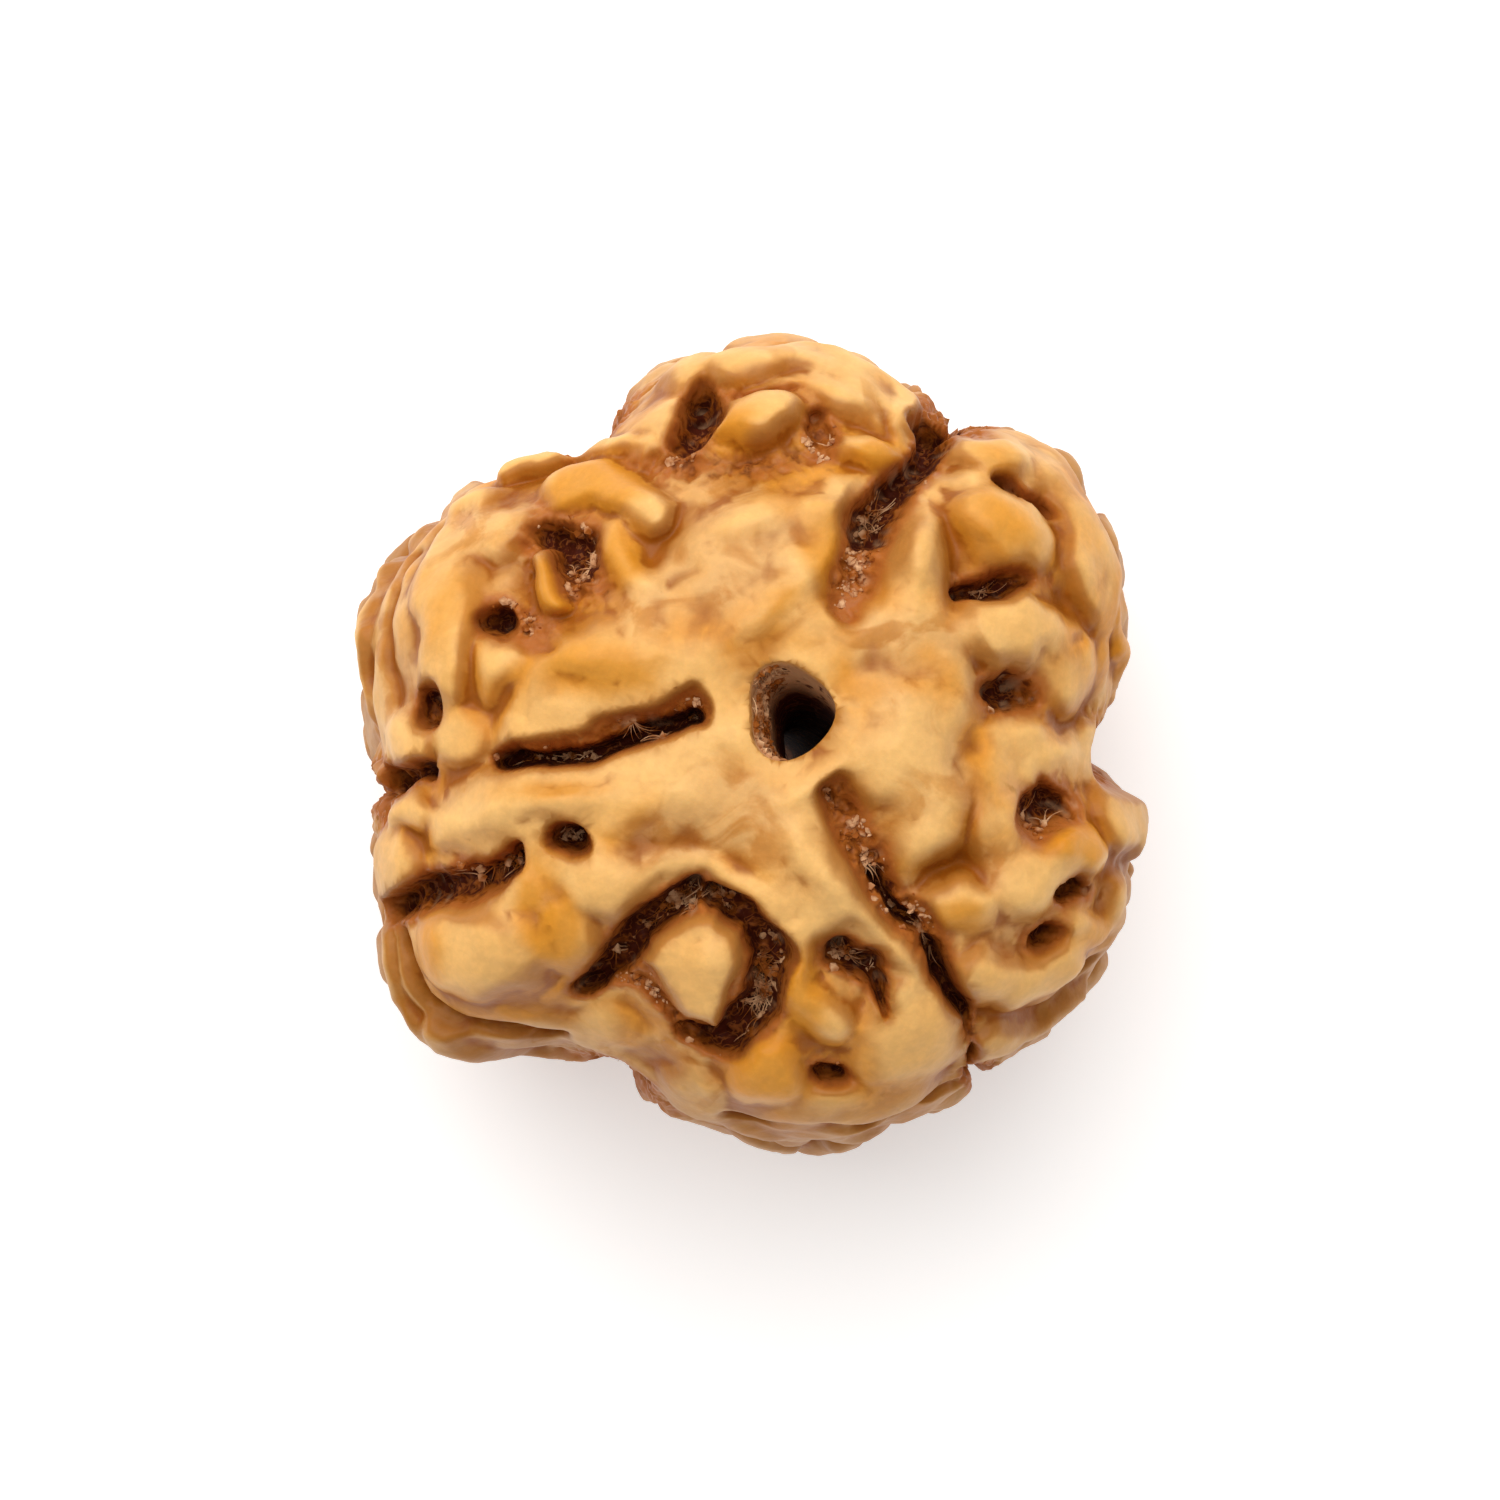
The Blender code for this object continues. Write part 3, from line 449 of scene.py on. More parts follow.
def lower_left_segment(relief):
    """Between the left line and the lower right one: big knob, rim, gold knob and bottom lobe."""
    relief.knob(-8.5, -1.8, 0.8, 0.65, 0, 0.0)
    relief.knob(-9.1, -3.1, 1.4, 1.1, 100, 0.0, 4)
    relief.knob(-6.7, -5.1, 2.2, 1.4, 6, 0.55, 4)
    relief.ridge([(-5.7, -3.7), (-4.7, -4.9)], 1.1, 0.16, 4)
    relief.ridge([(-9.3, -4.9), (-9.0, -6.3), (-7.9, -7.5)], 0.6, -0.05)
    relief.ridge([(-7.8, -7.3), (-6.2, -8.1), (-4.9, -8.5)], 0.9, 0.05)
    relief.knob(-3.7, -7.2, 1.6, 1.0, 0, -0.3, 4)
    relief.ridge([(0.9, -4.6), (1.1, -6.0), (1.7, -6.9)], (0.75, 0.65, 0.7), 0.05)
    relief.knob(2.1, -6.8, 0.9, 0.6, 0, 0.1)
    relief.knob(0.5, -8.2, 1.25, 1.1, 0, 0.3)
    relief.knob(3.9, -7.4, 1.9, 1.6, 80, 0.18, 4)
    relief.knob(2.6, -9.1, 2.8, 1.1, 6, 0.02, 4)
    relief.knob(-1.5, -8.9, 1.5, 1.2, 80, -0.1, 4)


def top_lines(relief):
    """The upper ends of the three lines, as wide slots with fibre in them."""
    left = [(-6.2, -0.45), (-5.0, -0.15), (-3.75, 0.15), (-2.5, 0.5), (-1.3, 0.85)]
    relief.groove(left, (0.25, 0.56, 0.5), -0.95, 3.0)
    relief.groove([(x, y - 0.13) for x, y in left], (0.22, 0.36, 0.3), -2.3, 3.0)
    relief.groove([(-9.2, -0.85), (-8.0, -0.65)], (0.55, 0.4), -1.9)
    lower = [(2.1, -1.0), (2.55, -2.1), (3.05, -3.1), (3.6, -4.0), (4.2, -4.9), (4.9, -5.8), (5.4, -6.7)]
    lower.append((5.7, -8.2))
    relief.groove(lower, (0.5, 0.64, 0.58, 0.32, 0.22), -0.95, 3.4)
    relief.groove(lower[2:], (0.25, 0.3, 0.2), -2.1)
    relief.groove([(2.2, 3.3), (2.5, 4.3), (2.95, 5.4)], (0.42, 0.66, 0.75), -0.85, 3.0)
    relief.groove([(2.9, 5.3), (3.5, 6.2), (4.2, 7.1), (4.85, 8.3)], (0.55, 0.66, 0.55), -1.9, 3.0)


def pits_above(relief):
    """Pits, hollows and creases of the upper half of the page."""
    relief.swell(-5.2, 4.3, 2.0, 1.5, -60, -0.42)
    relief.pit(-4.7, 4.9, 1.25, 0.85, -50, -1.9)
    relief.ridge([(-5.3, 4.55), (-4.85, 3.4)], 0.36, 0.0)
    relief.pit(-6.2, 3.1, 0.7, 0.5, -20, -1.9)
    relief.pit(-5.5, 2.8, 0.8, 0.45, -25, -0.65)
    relief.pit(-7.95, 1.0, 0.6, 0.45, 80, -1.5)
    relief.swell(-6.1, 1.4, 0.8, 0.4, 60, -0.2)
    relief.crease([(-3.0, 7.1), (-1.0, 6.9), (1.2, 7.1)], 0.75, -0.45, 0.75)
    relief.groove([(-1.15, 8.8), (-1.5, 7.7)], 0.68, -1.9)
    relief.groove([(-0.3, 8.95), (1.3, 8.85)], 0.22, -0.7)
    relief.pit(1.8, 7.75, 0.75, 0.42, 90, -1.2)
    relief.crease([(-2.0, 3.9), (-1.4, 4.2)], 0.3, -0.16, 0.5)
    relief.groove([(6.3, 6.45), (7.5, 6.05)], 0.24, -1.3)
    relief.groove([(5.2, 3.8), (6.2, 3.95), (7.5, 4.1)], (0.3, 0.42, 0.25), -1.7)
    relief.crease([(4.9, 5.3), (5.0, 4.2), (5.2, 3.0), (5.5, 1.8)], 0.4, -0.15)
    relief.crease([(7.4, 6.2), (7.7, 5.0), (7.9, 3.8), (8.6, 2.9)], 0.35, -0.25)
    relief.crease([(5.6, 2.2), (7.0, 2.2), (8.2, 2.6)], 0.3, -0.2)
    relief.crease([(-1.0, 7.4), (-1.2, 8.6)], 0.3, -0.2)
    relief.crease([(4.9, 6.2), (6.2, 6.3), (6.9, 5.7)], 0.25, -0.25)
    relief.pit(6.3, 1.35, 1.0, 0.68, 0, -1.9, 2.2)
    relief.swell(7.7, 0.6, 0.5, 0.5, 0, -0.2)


def pits_below(relief):
    """Pits, hollows and creases of the lower half of the page."""
    relief.groove([(-9.2, -4.2), (-8.2, -3.9), (-7.0, -3.35), (-5.8, -2.95)], (0.5, 0.6, 0.4), -1.7)
    relief.pit(-4.5, -2.45, 0.58, 0.5, 0, -2.0)
    relief.crease([(-8.8, -5.2), (-8.3, -6.4), (-7.0, -7.1), (-5.2, -7.3)], 0.5, -0.75, 0.35)
    relief.crease([(-7.4, -7.9), (-5.6, -8.5)], 0.3, -0.3)
    relief.groove([(-1.5, -3.85), (-2.4, -4.25), (-3.3, -5.1), (-4.2, -6.0)], (0.55, 0.65, 0.4), -1.9, 3.2)
    around = [(-0.9, -3.95), (-0.1, -4.3), (0.55, -5.3), (0.25, -6.5), (-0.8, -7.4)]
    relief.groove(around, (0.4, 0.66, 0.6), -1.9, 3.2)
    relief.groove([(-0.6, -7.4), (-1.5, -7.2)], (0.5, 0.42), -1.4)
    relief.groove([(-3.7, -5.7), (-2.7, -5.85), (-1.9, -6.5), (-1.3, -7.1)], (0.4, 0.4, 0.36), -0.95)
    relief.groove([(2.1, -5.2), (2.9, -5.7), (3.4, -6.6)], (0.48, 0.44, 0.2), -1.7)
    relief.pit(2.1, -8.15, 0.45, 0.42, 0, -1.5)
    relief.crease([(-0.5, -9.4), (2.0, -9.6), (5.2, -8.8)], 0.3, -0.35)
    relief.crease([(5.7, -6.7), (7.5, -6.8), (8.7, -5.8)], 0.32, -0.35)
    relief.crease([(3.3, -3.15), (4.2, -3.3), (5.2, -2.9)], 0.3, -0.4)
    relief.pit(7.45, -1.6, 1.0, 0.78, 0, -1.8)
    relief.pit(8.0, -3.65, 0.5, 0.36, 20, -1.5)
    relief.pit(7.5, -4.75, 0.6, 0.42, 15, -1.6)


TOOTH = [
    (-2.75, -5.15), (-2.35, -4.75), (-1.5, -4.35), (-0.7, -4.35), (-0.3, -4.8), (-0.3, -5.55),
    (-0.6, -6.35), (-0.98, -6.9), (-1.4, -6.7), (-1.8, -6.1), (-2.3, -5.6),
]


def tooth(relief):
    """The tooth that stands in the deep channel of the lower left segment."""
    relief.plateau(TOOTH, 0.25, 0.35, 0.6)
    relief.swell(-1.2, -5.2, 0.7, 0.6, 0, 0.12)


def sculpted(points):
    """The relief at each of the plain body's points, its features in the order that they lie."""
    relief = Relief(points)
    for shape in (
        upper_left_segment, top_lobe, right_segment, lower_left_segment, main_plateau,
        hidden_net, foot, side_lines, top_lines, pits_above, pits_below, tooth,
    ):
        shape(relief)
    relief.swell(*HOLE_MOUTH, *MOUTH_HOLLOW)
    relief.height += relief.ripple
    return relief


def cut_upright(shape, least, cuts):
    """Subdivide the edges of a cylinder that rise by more than a height."""
    upright = [edge for edge in shape.edges if abs(edge.verts[0].co.z - edge.verts[1].co.z) > least]
    bmesh.ops.subdivide_edges(shape, edges=upright, cuts=cuts, use_grid_fill=True)


def hole_tool():
    """A slanted, tapering, uneven tube through the bead, wide at both mouths."""
    reach = HALF_HEIGHT + 1.5
    shape = bmesh.new()
    bmesh.ops.create_cone(
        shape, cap_ends=True, cap_tris=True, segments=40, radius1=1.0, radius2=1.0, depth=2.0 * reach
    )
    cut_upright(shape, reach, 40)
    for vertex in shape.verts:
        x, y, z = vertex.co
        angle = math.atan2(y, x)
        level = (z / HALF_HEIGHT + 1.0) / 2.0
        mouth = max(0.0, abs(z) / HALF_HEIGHT - 0.45) / 0.55
        radius = BORE_RADIUS + (MOUTH_RADIUS - BORE_RADIUS) * min(mouth, 1.2) ** 1.5
        radius *= 1.0 + 0.09 * math.cos(3.0 * angle - 0.2) + 0.07 * math.cos(2.0 * angle - 3.5)
        bend = 4.0 * level * (1.0 - level)
        middle_x = HOLE_FOOT[0] + (HOLE_MOUTH[0] - HOLE_FOOT[0]) * level + HOLE_BEND[0] * bend
        middle_y = HOLE_FOOT[1] + (HOLE_MOUTH[1] - HOLE_FOOT[1]) * level + HOLE_BEND[1] * bend
        vertex.co = Vector((middle_x + x * radius, middle_y + y * radius, z))
    return tool_object("hole_tool", shape)


def floor_tool():
    """The block that levels the lowest knobs, so that the bead rests on a small flat spot."""
    shape = bmesh.new()
    block = Matrix.Diagonal((30.0, 30.0, 6.0, 1.0))
    place = Matrix.Translation((0.0, 0.0, FLAT_SPOT - HALF_HEIGHT - 3.0))
    bmesh.ops.create_cube(shape, size=1.0, matrix=place @ block)
    return tool_object("floor_tool", shape)


def new_object(name, data):
    """A new object at the origin that shows a mesh, a camera or a lamp."""
    thing = bpy.data.objects.new(name, data)
    bpy.context.scene.collection.objects.link(thing)
    return thing


def mesh_of(name, shape):
    """A mesh of a finished bmesh, which is then freed."""
    mesh = bpy.data.meshes.new(name)
    shape.to_mesh(mesh)
    shape.free()
    return mesh


def placed(name, mesh, spots):
    """A new object whose mesh has its vertices at these places."""
    mesh.vertices.foreach_set("co", spots.ravel())
    mesh.update()
    return new_object(name, mesh)


def tool_object(name, shape):
    """A cutter in millimetres, moved to metres."""
    mesh = mesh_of(name, shape)
    mesh.transform(Matrix.Scale(MM, 4))
    return new_object(name, mesh)


def bake(thing):
    """Keep the mesh that an object shows with its modifiers, and remove them."""
    graph = bpy.context.evaluated_depsgraph_get()
    mesh = bpy.data.meshes.new_from_object(thing.evaluated_get(graph))
    thing.modifiers.clear()
    old, thing.data = thing.data, mesh
    bpy.data.meshes.remove(old)
    mesh.name = thing.name


def grain(places, relief):
    """Fine unevenness in millimetres: soft dents on the worn tops, crumbling pulp in the deep places."""
    rough = relief.stain * np.clip((PIT_RIM - relief.height) / 0.6, 0.0, 1.0)
    swell, dent, crumble = np.empty(len(places)), np.empty(len(places)), np.zeros(len(places))
    for index, place in enumerate(places):
        spot = Vector(place)
        swell[index] = fields.noise(spot * SWELL_PACE)
        dent[index] = fields.noise(spot * DENT_PACE) + 0.25 * fields.noise(spot * FINE_PACE)
    for index in np.nonzero(rough > 0.02)[0]:
        spot = Vector(places[index]) * CRUMBLE_PACE
        crumble[index] = fields.ridged_multi_fractal(spot, 0.8, 2.2, 3, 1.0, 2.0) - 1.0
    return SWELL * swell + DENT * dent + CRUMBLE * rough * crumble


def stone_surface():
    """The bead's surface at full detail: a sphere moved out to the body, its relief and its grain."""
    shape = bmesh.new()
    bmesh.ops.create_icosphere(shape, subdivisions=SPHERE_LEVEL, radius=1.0)
    directions = np.array([vertex.co[:] for vertex in shape.verts])
    directions /= np.linalg.norm(directions, axis=1)[:, None]
    body = directions * body_reach(directions)[:, None]
    relief = sculpted(body)
    level = relief.height + grain(body, relief)
    spots = (body + rise_axes(body) * level[:, None]) * MM
    return placed("bead_stone", mesh_of("bead_stone", shape), spots)


def read(items, name, width=1, kind=np.float32):
    """One value of every item of a mesh, in a row each where it has several numbers."""
    values = np.empty(len(items) * width, dtype=kind)
    items.foreach_get(name, values)
    return values.reshape(-1, width) if width > 1 else values


def corners(mesh):
    """The vertices of a mesh and the way that it faces at each, one row each."""
    return (read(items, name, 3).astype(float) for items, name in (
        (mesh.vertices, "co"), (mesh.vertex_normals, "vector"),
    ))


def seat(thing, low, high):
    """Move a finished surface into the solid's box, smaller if it must be. Returns its middle and scale."""
    spots, _ = corners(thing.data)
    least, most = spots.min(axis=0), spots.max(axis=0)
    share = INSIDE_BOX * min(1.0, *((np.array(high) - np.array(low)) / (most - least)))
    under = np.array([(least[0] + most[0]) / 2.0, (least[1] + most[1]) / 2.0, least[2]])
    target = np.array([(low[0] + high[0]) / 2.0, (low[1] + high[1]) / 2.0, low[2]])
    move = Matrix.Translation(target) @ Matrix.Scale(share, 4) @ Matrix.Translation(-under)
    thing.data.transform(move)
    return target - under * share, share


def smoothed(values, edges, count, rounds):
    """Values averaged over neighbouring vertices, again and again."""
    number = np.bincount(edges.ravel(), minlength=count)
    number = np.maximum(number, 1)
    for _ in range(rounds):
        total = np.bincount(edges[:, 0], values[edges[:, 1]], count)
        total += np.bincount(edges[:, 1], values[edges[:, 0]], count)
        values = 0.5 * values + 0.5 * total / number
    return values


def body_under(spots):
    """The place of the plain body that each point rose or sank from, and how far, in millimetres."""
    body = spots
    for _ in range(6):
        heading = body / np.linalg.norm(body, axis=1)[:, None]
        body = heading * body_reach(heading)[:, None]
        axes = rise_axes(body)
        level = ((spots - body) * heading).sum(axis=1) / (axes * heading).sum(axis=1)
        body = spots - axes * level[:, None]
    return body, level


def write_looks(thing, middle, share):
    """What the stone's material reads at every vertex, from its level to how far it is in the bore."""
    mesh = thing.data
    spots, normals = corners(mesh)
    spots = (spots - middle) / (MM * share)
    body, level = body_under(spots)
    count = len(mesh.vertices)
    edges = read(mesh.edges, "vertices", 2, np.int32)
    near = smoothed(np.maximum(level, -3.0), edges, count, NEAR_ROUNDS)
    wide = smoothed(near, edges, count, WIDE_ROUNDS)
    out = np.sign(body) * np.abs(body) ** (SQUARENESS - 1.0)
    out[:, :2] /= MEAN_RADIUS**SQUARENESS
    out[:, 2] /= HALF_HEIGHT**SQUARENESS
    out /= np.linalg.norm(out, axis=1)[:, None]
    slope = 1.0 - (normals * out).sum(axis=1)
    relief = sculpted(body)
    inside = np.clip((relief.height - level) / HOLE_WALL - 0.5, 0.0, 1.0)
    inside = inside * (spots[:, 2] > FLAT_SPOT - HALF_HEIGHT + 0.1)
    looks = {
        "level": level,
        "hollow": np.clip(near - level, -1.0, 1.0),
        "basin": np.clip(wide - level, -2.0, 2.0),
        "slope": smoothed(slope, edges, count, 3),
        "gold": gold_stain(body),
        "stain": smoothed(np.maximum(relief.stain, inside), edges, count, 4),
        "bore": inside,
    }
    for name, values in looks.items():
        layer = mesh.attributes.new(name, "FLOAT", "POINT")
        layer.data.foreach_set("value", values.astype(np.float32))


GOLD_PLACES = (
    (-3.9, 6.4, 1.5, 1.0, 0, 1.0), (-4.9, 3.9, 0.9, 0.6, -60, 1.0), (-3.1, 4.8, 1.0, 1.2, 0, 0.8),
    (-3.6, 1.9, 2.2, 0.9, 3, 0.8), (-7.6, 3.2, 1.4, 2.4, 0, 0.5), (-0.6, 7.9, 1.0, 1.0, 0, 0.7),
    (3.0, 7.3, 1.2, 0.6, 45, 0.9), (1.7, 4.9, 0.8, 1.6, 0, 0.6), (0.7, 3.5, 1.0, 0.5, 40, 0.6),
    (6.0, 5.3, 1.5, 1.0, -33, 0.7), (6.0, 7.0, 1.2, 0.8, -20, 0.5), (9.4, 3.4, 0.6, 2.2, 0, 0.9),
    (-4.9, -4.3, 0.8, 1.8, 10, 0.9), (-7.9, -5.2, 1.0, 1.4, 0, 0.7), (0.5, -8.1, 1.3, 1.2, 0, 1.0),
    (1.2, -6.2, 0.9, 1.6, 0, 0.8), (8.2, -2.3, 1.3, 0.7, 15, 0.9), (5.0, -4.3, 1.0, 0.7, 0, 0.7),
    (8.8, -5.0, 1.5, 1.0, 40, 0.5), (-5.0, -1.2, 3.0, 0.5, 5, 0.5), (3.9, -2.9, 1.0, 0.5, 0, 0.5),
)


def gold_stain(body):
    """How far the surface is worn to a golden ochre, by place."""
    relief = Relief(body)
    stain = np.zeros(len(body))
    for x, y, length, width, turn, strength in GOLD_PLACES:
        near, out = relief.plan_oval(x, y, length, width, turn)
        stain[near] = np.maximum(stain[near], strength * np.exp(-1.2 * out**2))
    return stain


def linear(code):
    """An sRGB hex colour as linear red, green, blue and full alpha."""
    parts = [int(code[index : index + 2], 16) / 255.0 for index in (1, 3, 5)]
    return tuple(c / 12.92 if c <= 0.04045 else ((c + 0.055) / 1.055) ** 2.4 for c in parts) + (1.0,)


def add(tree, kind, inputs=(), **settings):
    """A node with its settings and inputs. An input is a value, a node, or a node and its output's name."""
    node = tree.nodes.new(kind)
    for name, value in settings.items():
        setattr(node, name, value)
    for socket, value in inputs.items() if isinstance(inputs, dict) else enumerate(inputs):
        linked = isinstance(value, tuple) and isinstance(value[0], bpy.types.Node)
        source, output = value if linked else (value, 0)
        if isinstance(source, bpy.types.Node):
            tree.links.new(source.outputs[output], node.inputs[socket])
        else:
            node.inputs[socket].default_value = value
    return node


def new_material(name):
    material = bpy.data.materials.new(name)
    material.use_nodes = True
    tree = material.node_tree
    tree.nodes.clear()
    return material, tree


def waxed_fruit_stone(colours):
    """The dried stone of the fruit, worn and waxed by handling.

    The eye sees pale tops, partly worn and partly a painted highlight, with a soft satin gloss, mottled
    tan, painted shade in ochre on the shoulders, slopes and broad hollows, in umber low down and away from
    the lamp and in brown in the creases, a rusty stain round the pits, and dull dark fibre in them.
    the pits, and dull dark fibre in them.
    """
    material, tree = new_material("waxed_dried_fruit_stone")
    ramp, blend = "ShaderNodeMapRange", "ShaderNodeMix"
    noise, sum_up = "ShaderNodeTexNoise", "ShaderNodeMath"
    soft = {"interpolation_type": "SMOOTHSTEP"}
    colour = {"data_type": "RGBA"}
    product = {"operation": "MULTIPLY"}
    place = (add(tree, "ShaderNodeTexCoord"), "Object")
    level, hollow, basin, slope, gold, stain_and_shade, bore = (
        (add(tree, "ShaderNodeAttribute", attribute_name=name), "Fac")
        for name in ("level", "hollow", "basin", "slope", "gold", "stain", "bore")
    )

    # Patterns: the size in millimetres, detail, roughness and distortion of each
    cloud, patch, streak, mottle, speck, strand = (
        add(tree, noise, {
            "Vector": place, "Scale": 1.0 / (size * MM),
            "Detail": detail, "Roughness": rough, "Distortion": twist,
        })
        for size, detail, rough, twist in (
            (3.2, 2.0, 0.5, 0.0), (1.4, 3.0, 0.6, 0.0), (1.7, 4.0, 0.5, 1.2),
            (0.42, 2.0, 0.5, 0.6), (0.2, 3.0, 0.65, 0.0), (0.55, 2.0, 0.5, 1.2),
        )
    )
    strand = add(tree, sum_up, [strand, 0.5], operation="PINGPONG")
    strand = add(tree, ramp, [strand, 0.455, 0.495], **soft)
    # Painted shade on the slopes: steep places, with a little patch noise, turn ochre
    slope_shade = add(tree, sum_up, [patch, 0.12], **product)
    slope_shade = add(tree, sum_up, [slope, slope_shade])
    # Height plus a third of the place along Y: low on the lower side and on the side away from the lamp,
    # where painted shade goes
    spot = add(tree, "ShaderNodeSeparateXYZ", [place])
    height = add(tree, sum_up, [(spot, "Y"), 0.35], **product)
    height = add(tree, sum_up, [(spot, "Z"), height])
    rubbing = add(tree, sum_up, [patch, 0.35], **product)
    rubbing = add(tree, sum_up, [gold, rubbing])

    # Layers over the tan: what drives each, where it starts and is full, how far it covers, its colour
    tint = linear(colours.tan)
    for source, start, full, most, shade in (
        (cloud, 0.42, 0.58, 1.0, colours.pale), (streak, 0.45, 0.62, 0.8, colours.tan_deep),
        # Paler on the raised tops, where the basin is below zero: partly real wear, partly a painted
        # highlight
        (basin, -0.05, -0.35, 0.75, colours.wear_and_highlight), (slope_shade, 0.08, 0.45, 0.8, colours.ochre),
        # Ochre where the basin is above zero: painted shade in the broad hollows
        # Umber where that height is low: painted shade on the lower side and on the side away from the lamp
        (basin, -0.06, 0.3, 0.9, colours.ochre), (height, 13.5 * MM, 7.5 * MM, 0.75, colours.low_side_shade),
        # Brown where the hollow is above zero: painted shade in the creases and small hollows
        (rubbing, 0.35, 0.85, 0.8, colours.gold), (hollow, 0.0, 0.1, 0.85, colours.brown),
    ):
        share = add(tree, ramp, [source, start, full, 0.0, most], **soft)
        tint = (add(tree, blend, {0: share, 6: tint, 7: linear(shade)}, **colour), 2)

    # The rusty stain round the pits, the brown below it, dark bottoms with strands, the hole's lining
    # The stain also lies along the creases, where it is partly painted shade
    cover = add(tree, sum_up, [mottle, patch])
    cover = add(tree, sum_up, [cover, 0.6], **product)
    cover = add(tree, sum_up, [stain_and_shade, cover])
    cover = add(tree, ramp, [cover, 1.0, 1.5], **soft)
    rusty = add(tree, ramp, [level, 0.0, -0.55, 0.08, 1.0], **soft)
    rusty = add(tree, sum_up, [cover, rusty], **product)
    ground = add(tree, sum_up, [mottle, 2.6], **product)
    ground = add(tree, sum_up, [level, ground])
    browned = add(tree, ramp, [ground, 0.75, 0.0, 0.0, 0.9], **soft)
    browned = add(tree, sum_up, [browned, cover], **product)
    bottom = add(tree, ramp, [ground, 0.45, -0.4], **soft)
    cover = add(tree, ramp, [stain_and_shade, 0.2, 0.8], **soft)
    bottom = add(tree, sum_up, [bottom, cover], **product)
    wall = add(tree, ramp, [level, -3.4, -1.4], **soft)
    wall = add(tree, sum_up, [wall, bore], **product)
    lined = add(tree, ramp, [mottle, 0.3, 0.5], **soft)
    fibrous, lined = (
        (add(tree, blend, {0: share, 6: linear(colours.pit), 7: linear(shade)}, **colour), 2)
        for share, shade in ((strand, colours.lint_dark), (lined, colours.lint))
    )
    for share, shade in (
        (rusty, linear(colours.rust)), (browned, linear(colours.brown)), (bottom, fibrous), (wall, lined),
    ):
        tint = (add(tree, blend, {0: share, 6: tint, 7: shade}, **colour), 2)
    for pattern, start, dark in ((mottle, 0.3, 0.97), (speck, 0.35, 0.96)):
        shade = add(tree, ramp, [pattern, start, 0.7, dark, 1.03], **soft)
        tint = (add(tree, blend, {0: 1.0, 6: tint, 7: shade}, blend_type="MULTIPLY", **colour), 2)

    gloss = add(tree, ramp, [ground, 0.5, -0.3, 0.44, 0.85], **soft)
    relief = add(tree, sum_up, [strand, bottom], **product)
    relief = add(tree, sum_up, [relief, speck])
    fine = add(tree, "ShaderNodeBump", {"Height": relief, "Strength": 0.4, "Distance": 0.03 * MM})
    dents = add(tree, "ShaderNodeBump", {
        "Height": patch, "Strength": 0.4, "Distance": 0.12 * MM, "Normal": fine,
    })
    shader = add(tree, "ShaderNodeBsdfPrincipled", {
        "Base Color": tint, "Roughness": gloss, "IOR": 1.45, "Specular IOR Level": 0.22, "Normal": dents,
        "Coat Weight": 0.04, "Coat Roughness": 0.3, "Coat IOR": 1.45, "Subsurface Weight": 0.06,
        "Subsurface Radius": (0.0006, 0.0003, 0.00012), "Subsurface Scale": 1.0,
    })
    add(tree, "ShaderNodeOutputMaterial", {"Surface": shader})
    return material


def dry_lint(name, light, dark):
    """Dry plant fibre left once the flesh is cleaned off: matt, straw pale and unevenly stained."""
    material, tree = new_material(name)
    place = add(tree, "ShaderNodeTexCoord")
    blotch = add(tree, "ShaderNodeTexNoise", {
        "Vector": (place, "Object"), "Scale": 1.0 / (0.5 * MM), "Detail": 2.0, "Roughness": 0.6,
    })
    share = add(tree, "ShaderNodeMapRange", {"Value": blotch, "From Min": 0.42, "From Max": 0.66})
    colour = add(tree, "ShaderNodeMix", {0: share, 6: linear(dark), 7: linear(light)}, data_type="RGBA")
    shader = {"Base Color": (colour, 2), "Roughness": 0.8, "IOR": 1.4}
    shader = add(tree, "ShaderNodeBsdfPrincipled", shader)
    add(tree, "ShaderNodeOutputMaterial", {"Surface": shader})
    return material


def repeated(name, template, count):
    """A mesh of many copies of a small shape, and the shape's own points."""
    own = np.array([vertex.co[:] for vertex in template.verts])
    one = mesh_of("one", template)
    many = bmesh.new()
    for _ in range(count):
        many.from_mesh(one)
    bpy.data.meshes.remove(one)
    return mesh_of(name, many), own


def unit(rows):
    return rows / np.maximum(np.linalg.norm(rows, axis=1), 1e-9)[:, None]


def grown(name, mesh, roots, steps):
    """A piece of many small shapes, each at its root, with its points moved along an axis in each step."""
    spots = roots[:, None, :]
    for axis, reach in steps:
        spots = spots + axis[:, None, :] * reach[:, :, None]
    return placed(name, mesh, spots)


def fibres(name, roots, normals, rng, length, thickness, lift):
    """Thin bent hairs of lint that start in a surface and cross it, one for each root."""
    template = bmesh.new()
    bmesh.ops.create_cone(template, cap_ends=True, segments=3, radius1=1.0, radius2=0.35, depth=1.0)
    cut_upright(template, 0.5, 5)
    mesh, own = repeated(name, template, len(roots))
    count = len(roots)
    along = unit(np.cross(normals, rng.normal(size=(count, 3))))
    along *= np.where(along[:, 2] > 0.0, -1.0, 1.0)[:, None]
    side = np.cross(normals, along)
    long = rng.uniform(0.5, 1.0, count) * length * MM
    curl = rng.uniform(-0.7, 0.7, count)
    arch = rng.uniform(0.1, 1.0, count) * lift * MM
    thick = rng.uniform(0.6, 1.0, count) * thickness * MM
    share = own[:, 2] + 0.5
    return grown(name, mesh, roots - normals * (FIBRE_ROOT * MM), (
        (along, long[:, None] * share), (side, (long * curl)[:, None] * share**2),
        (normals, arch[:, None] * 4.0 * share * (1.15 - share)),
        (side, thick[:, None] * own[:, 0]), (normals, thick[:, None] * own[:, 1]),
    ))


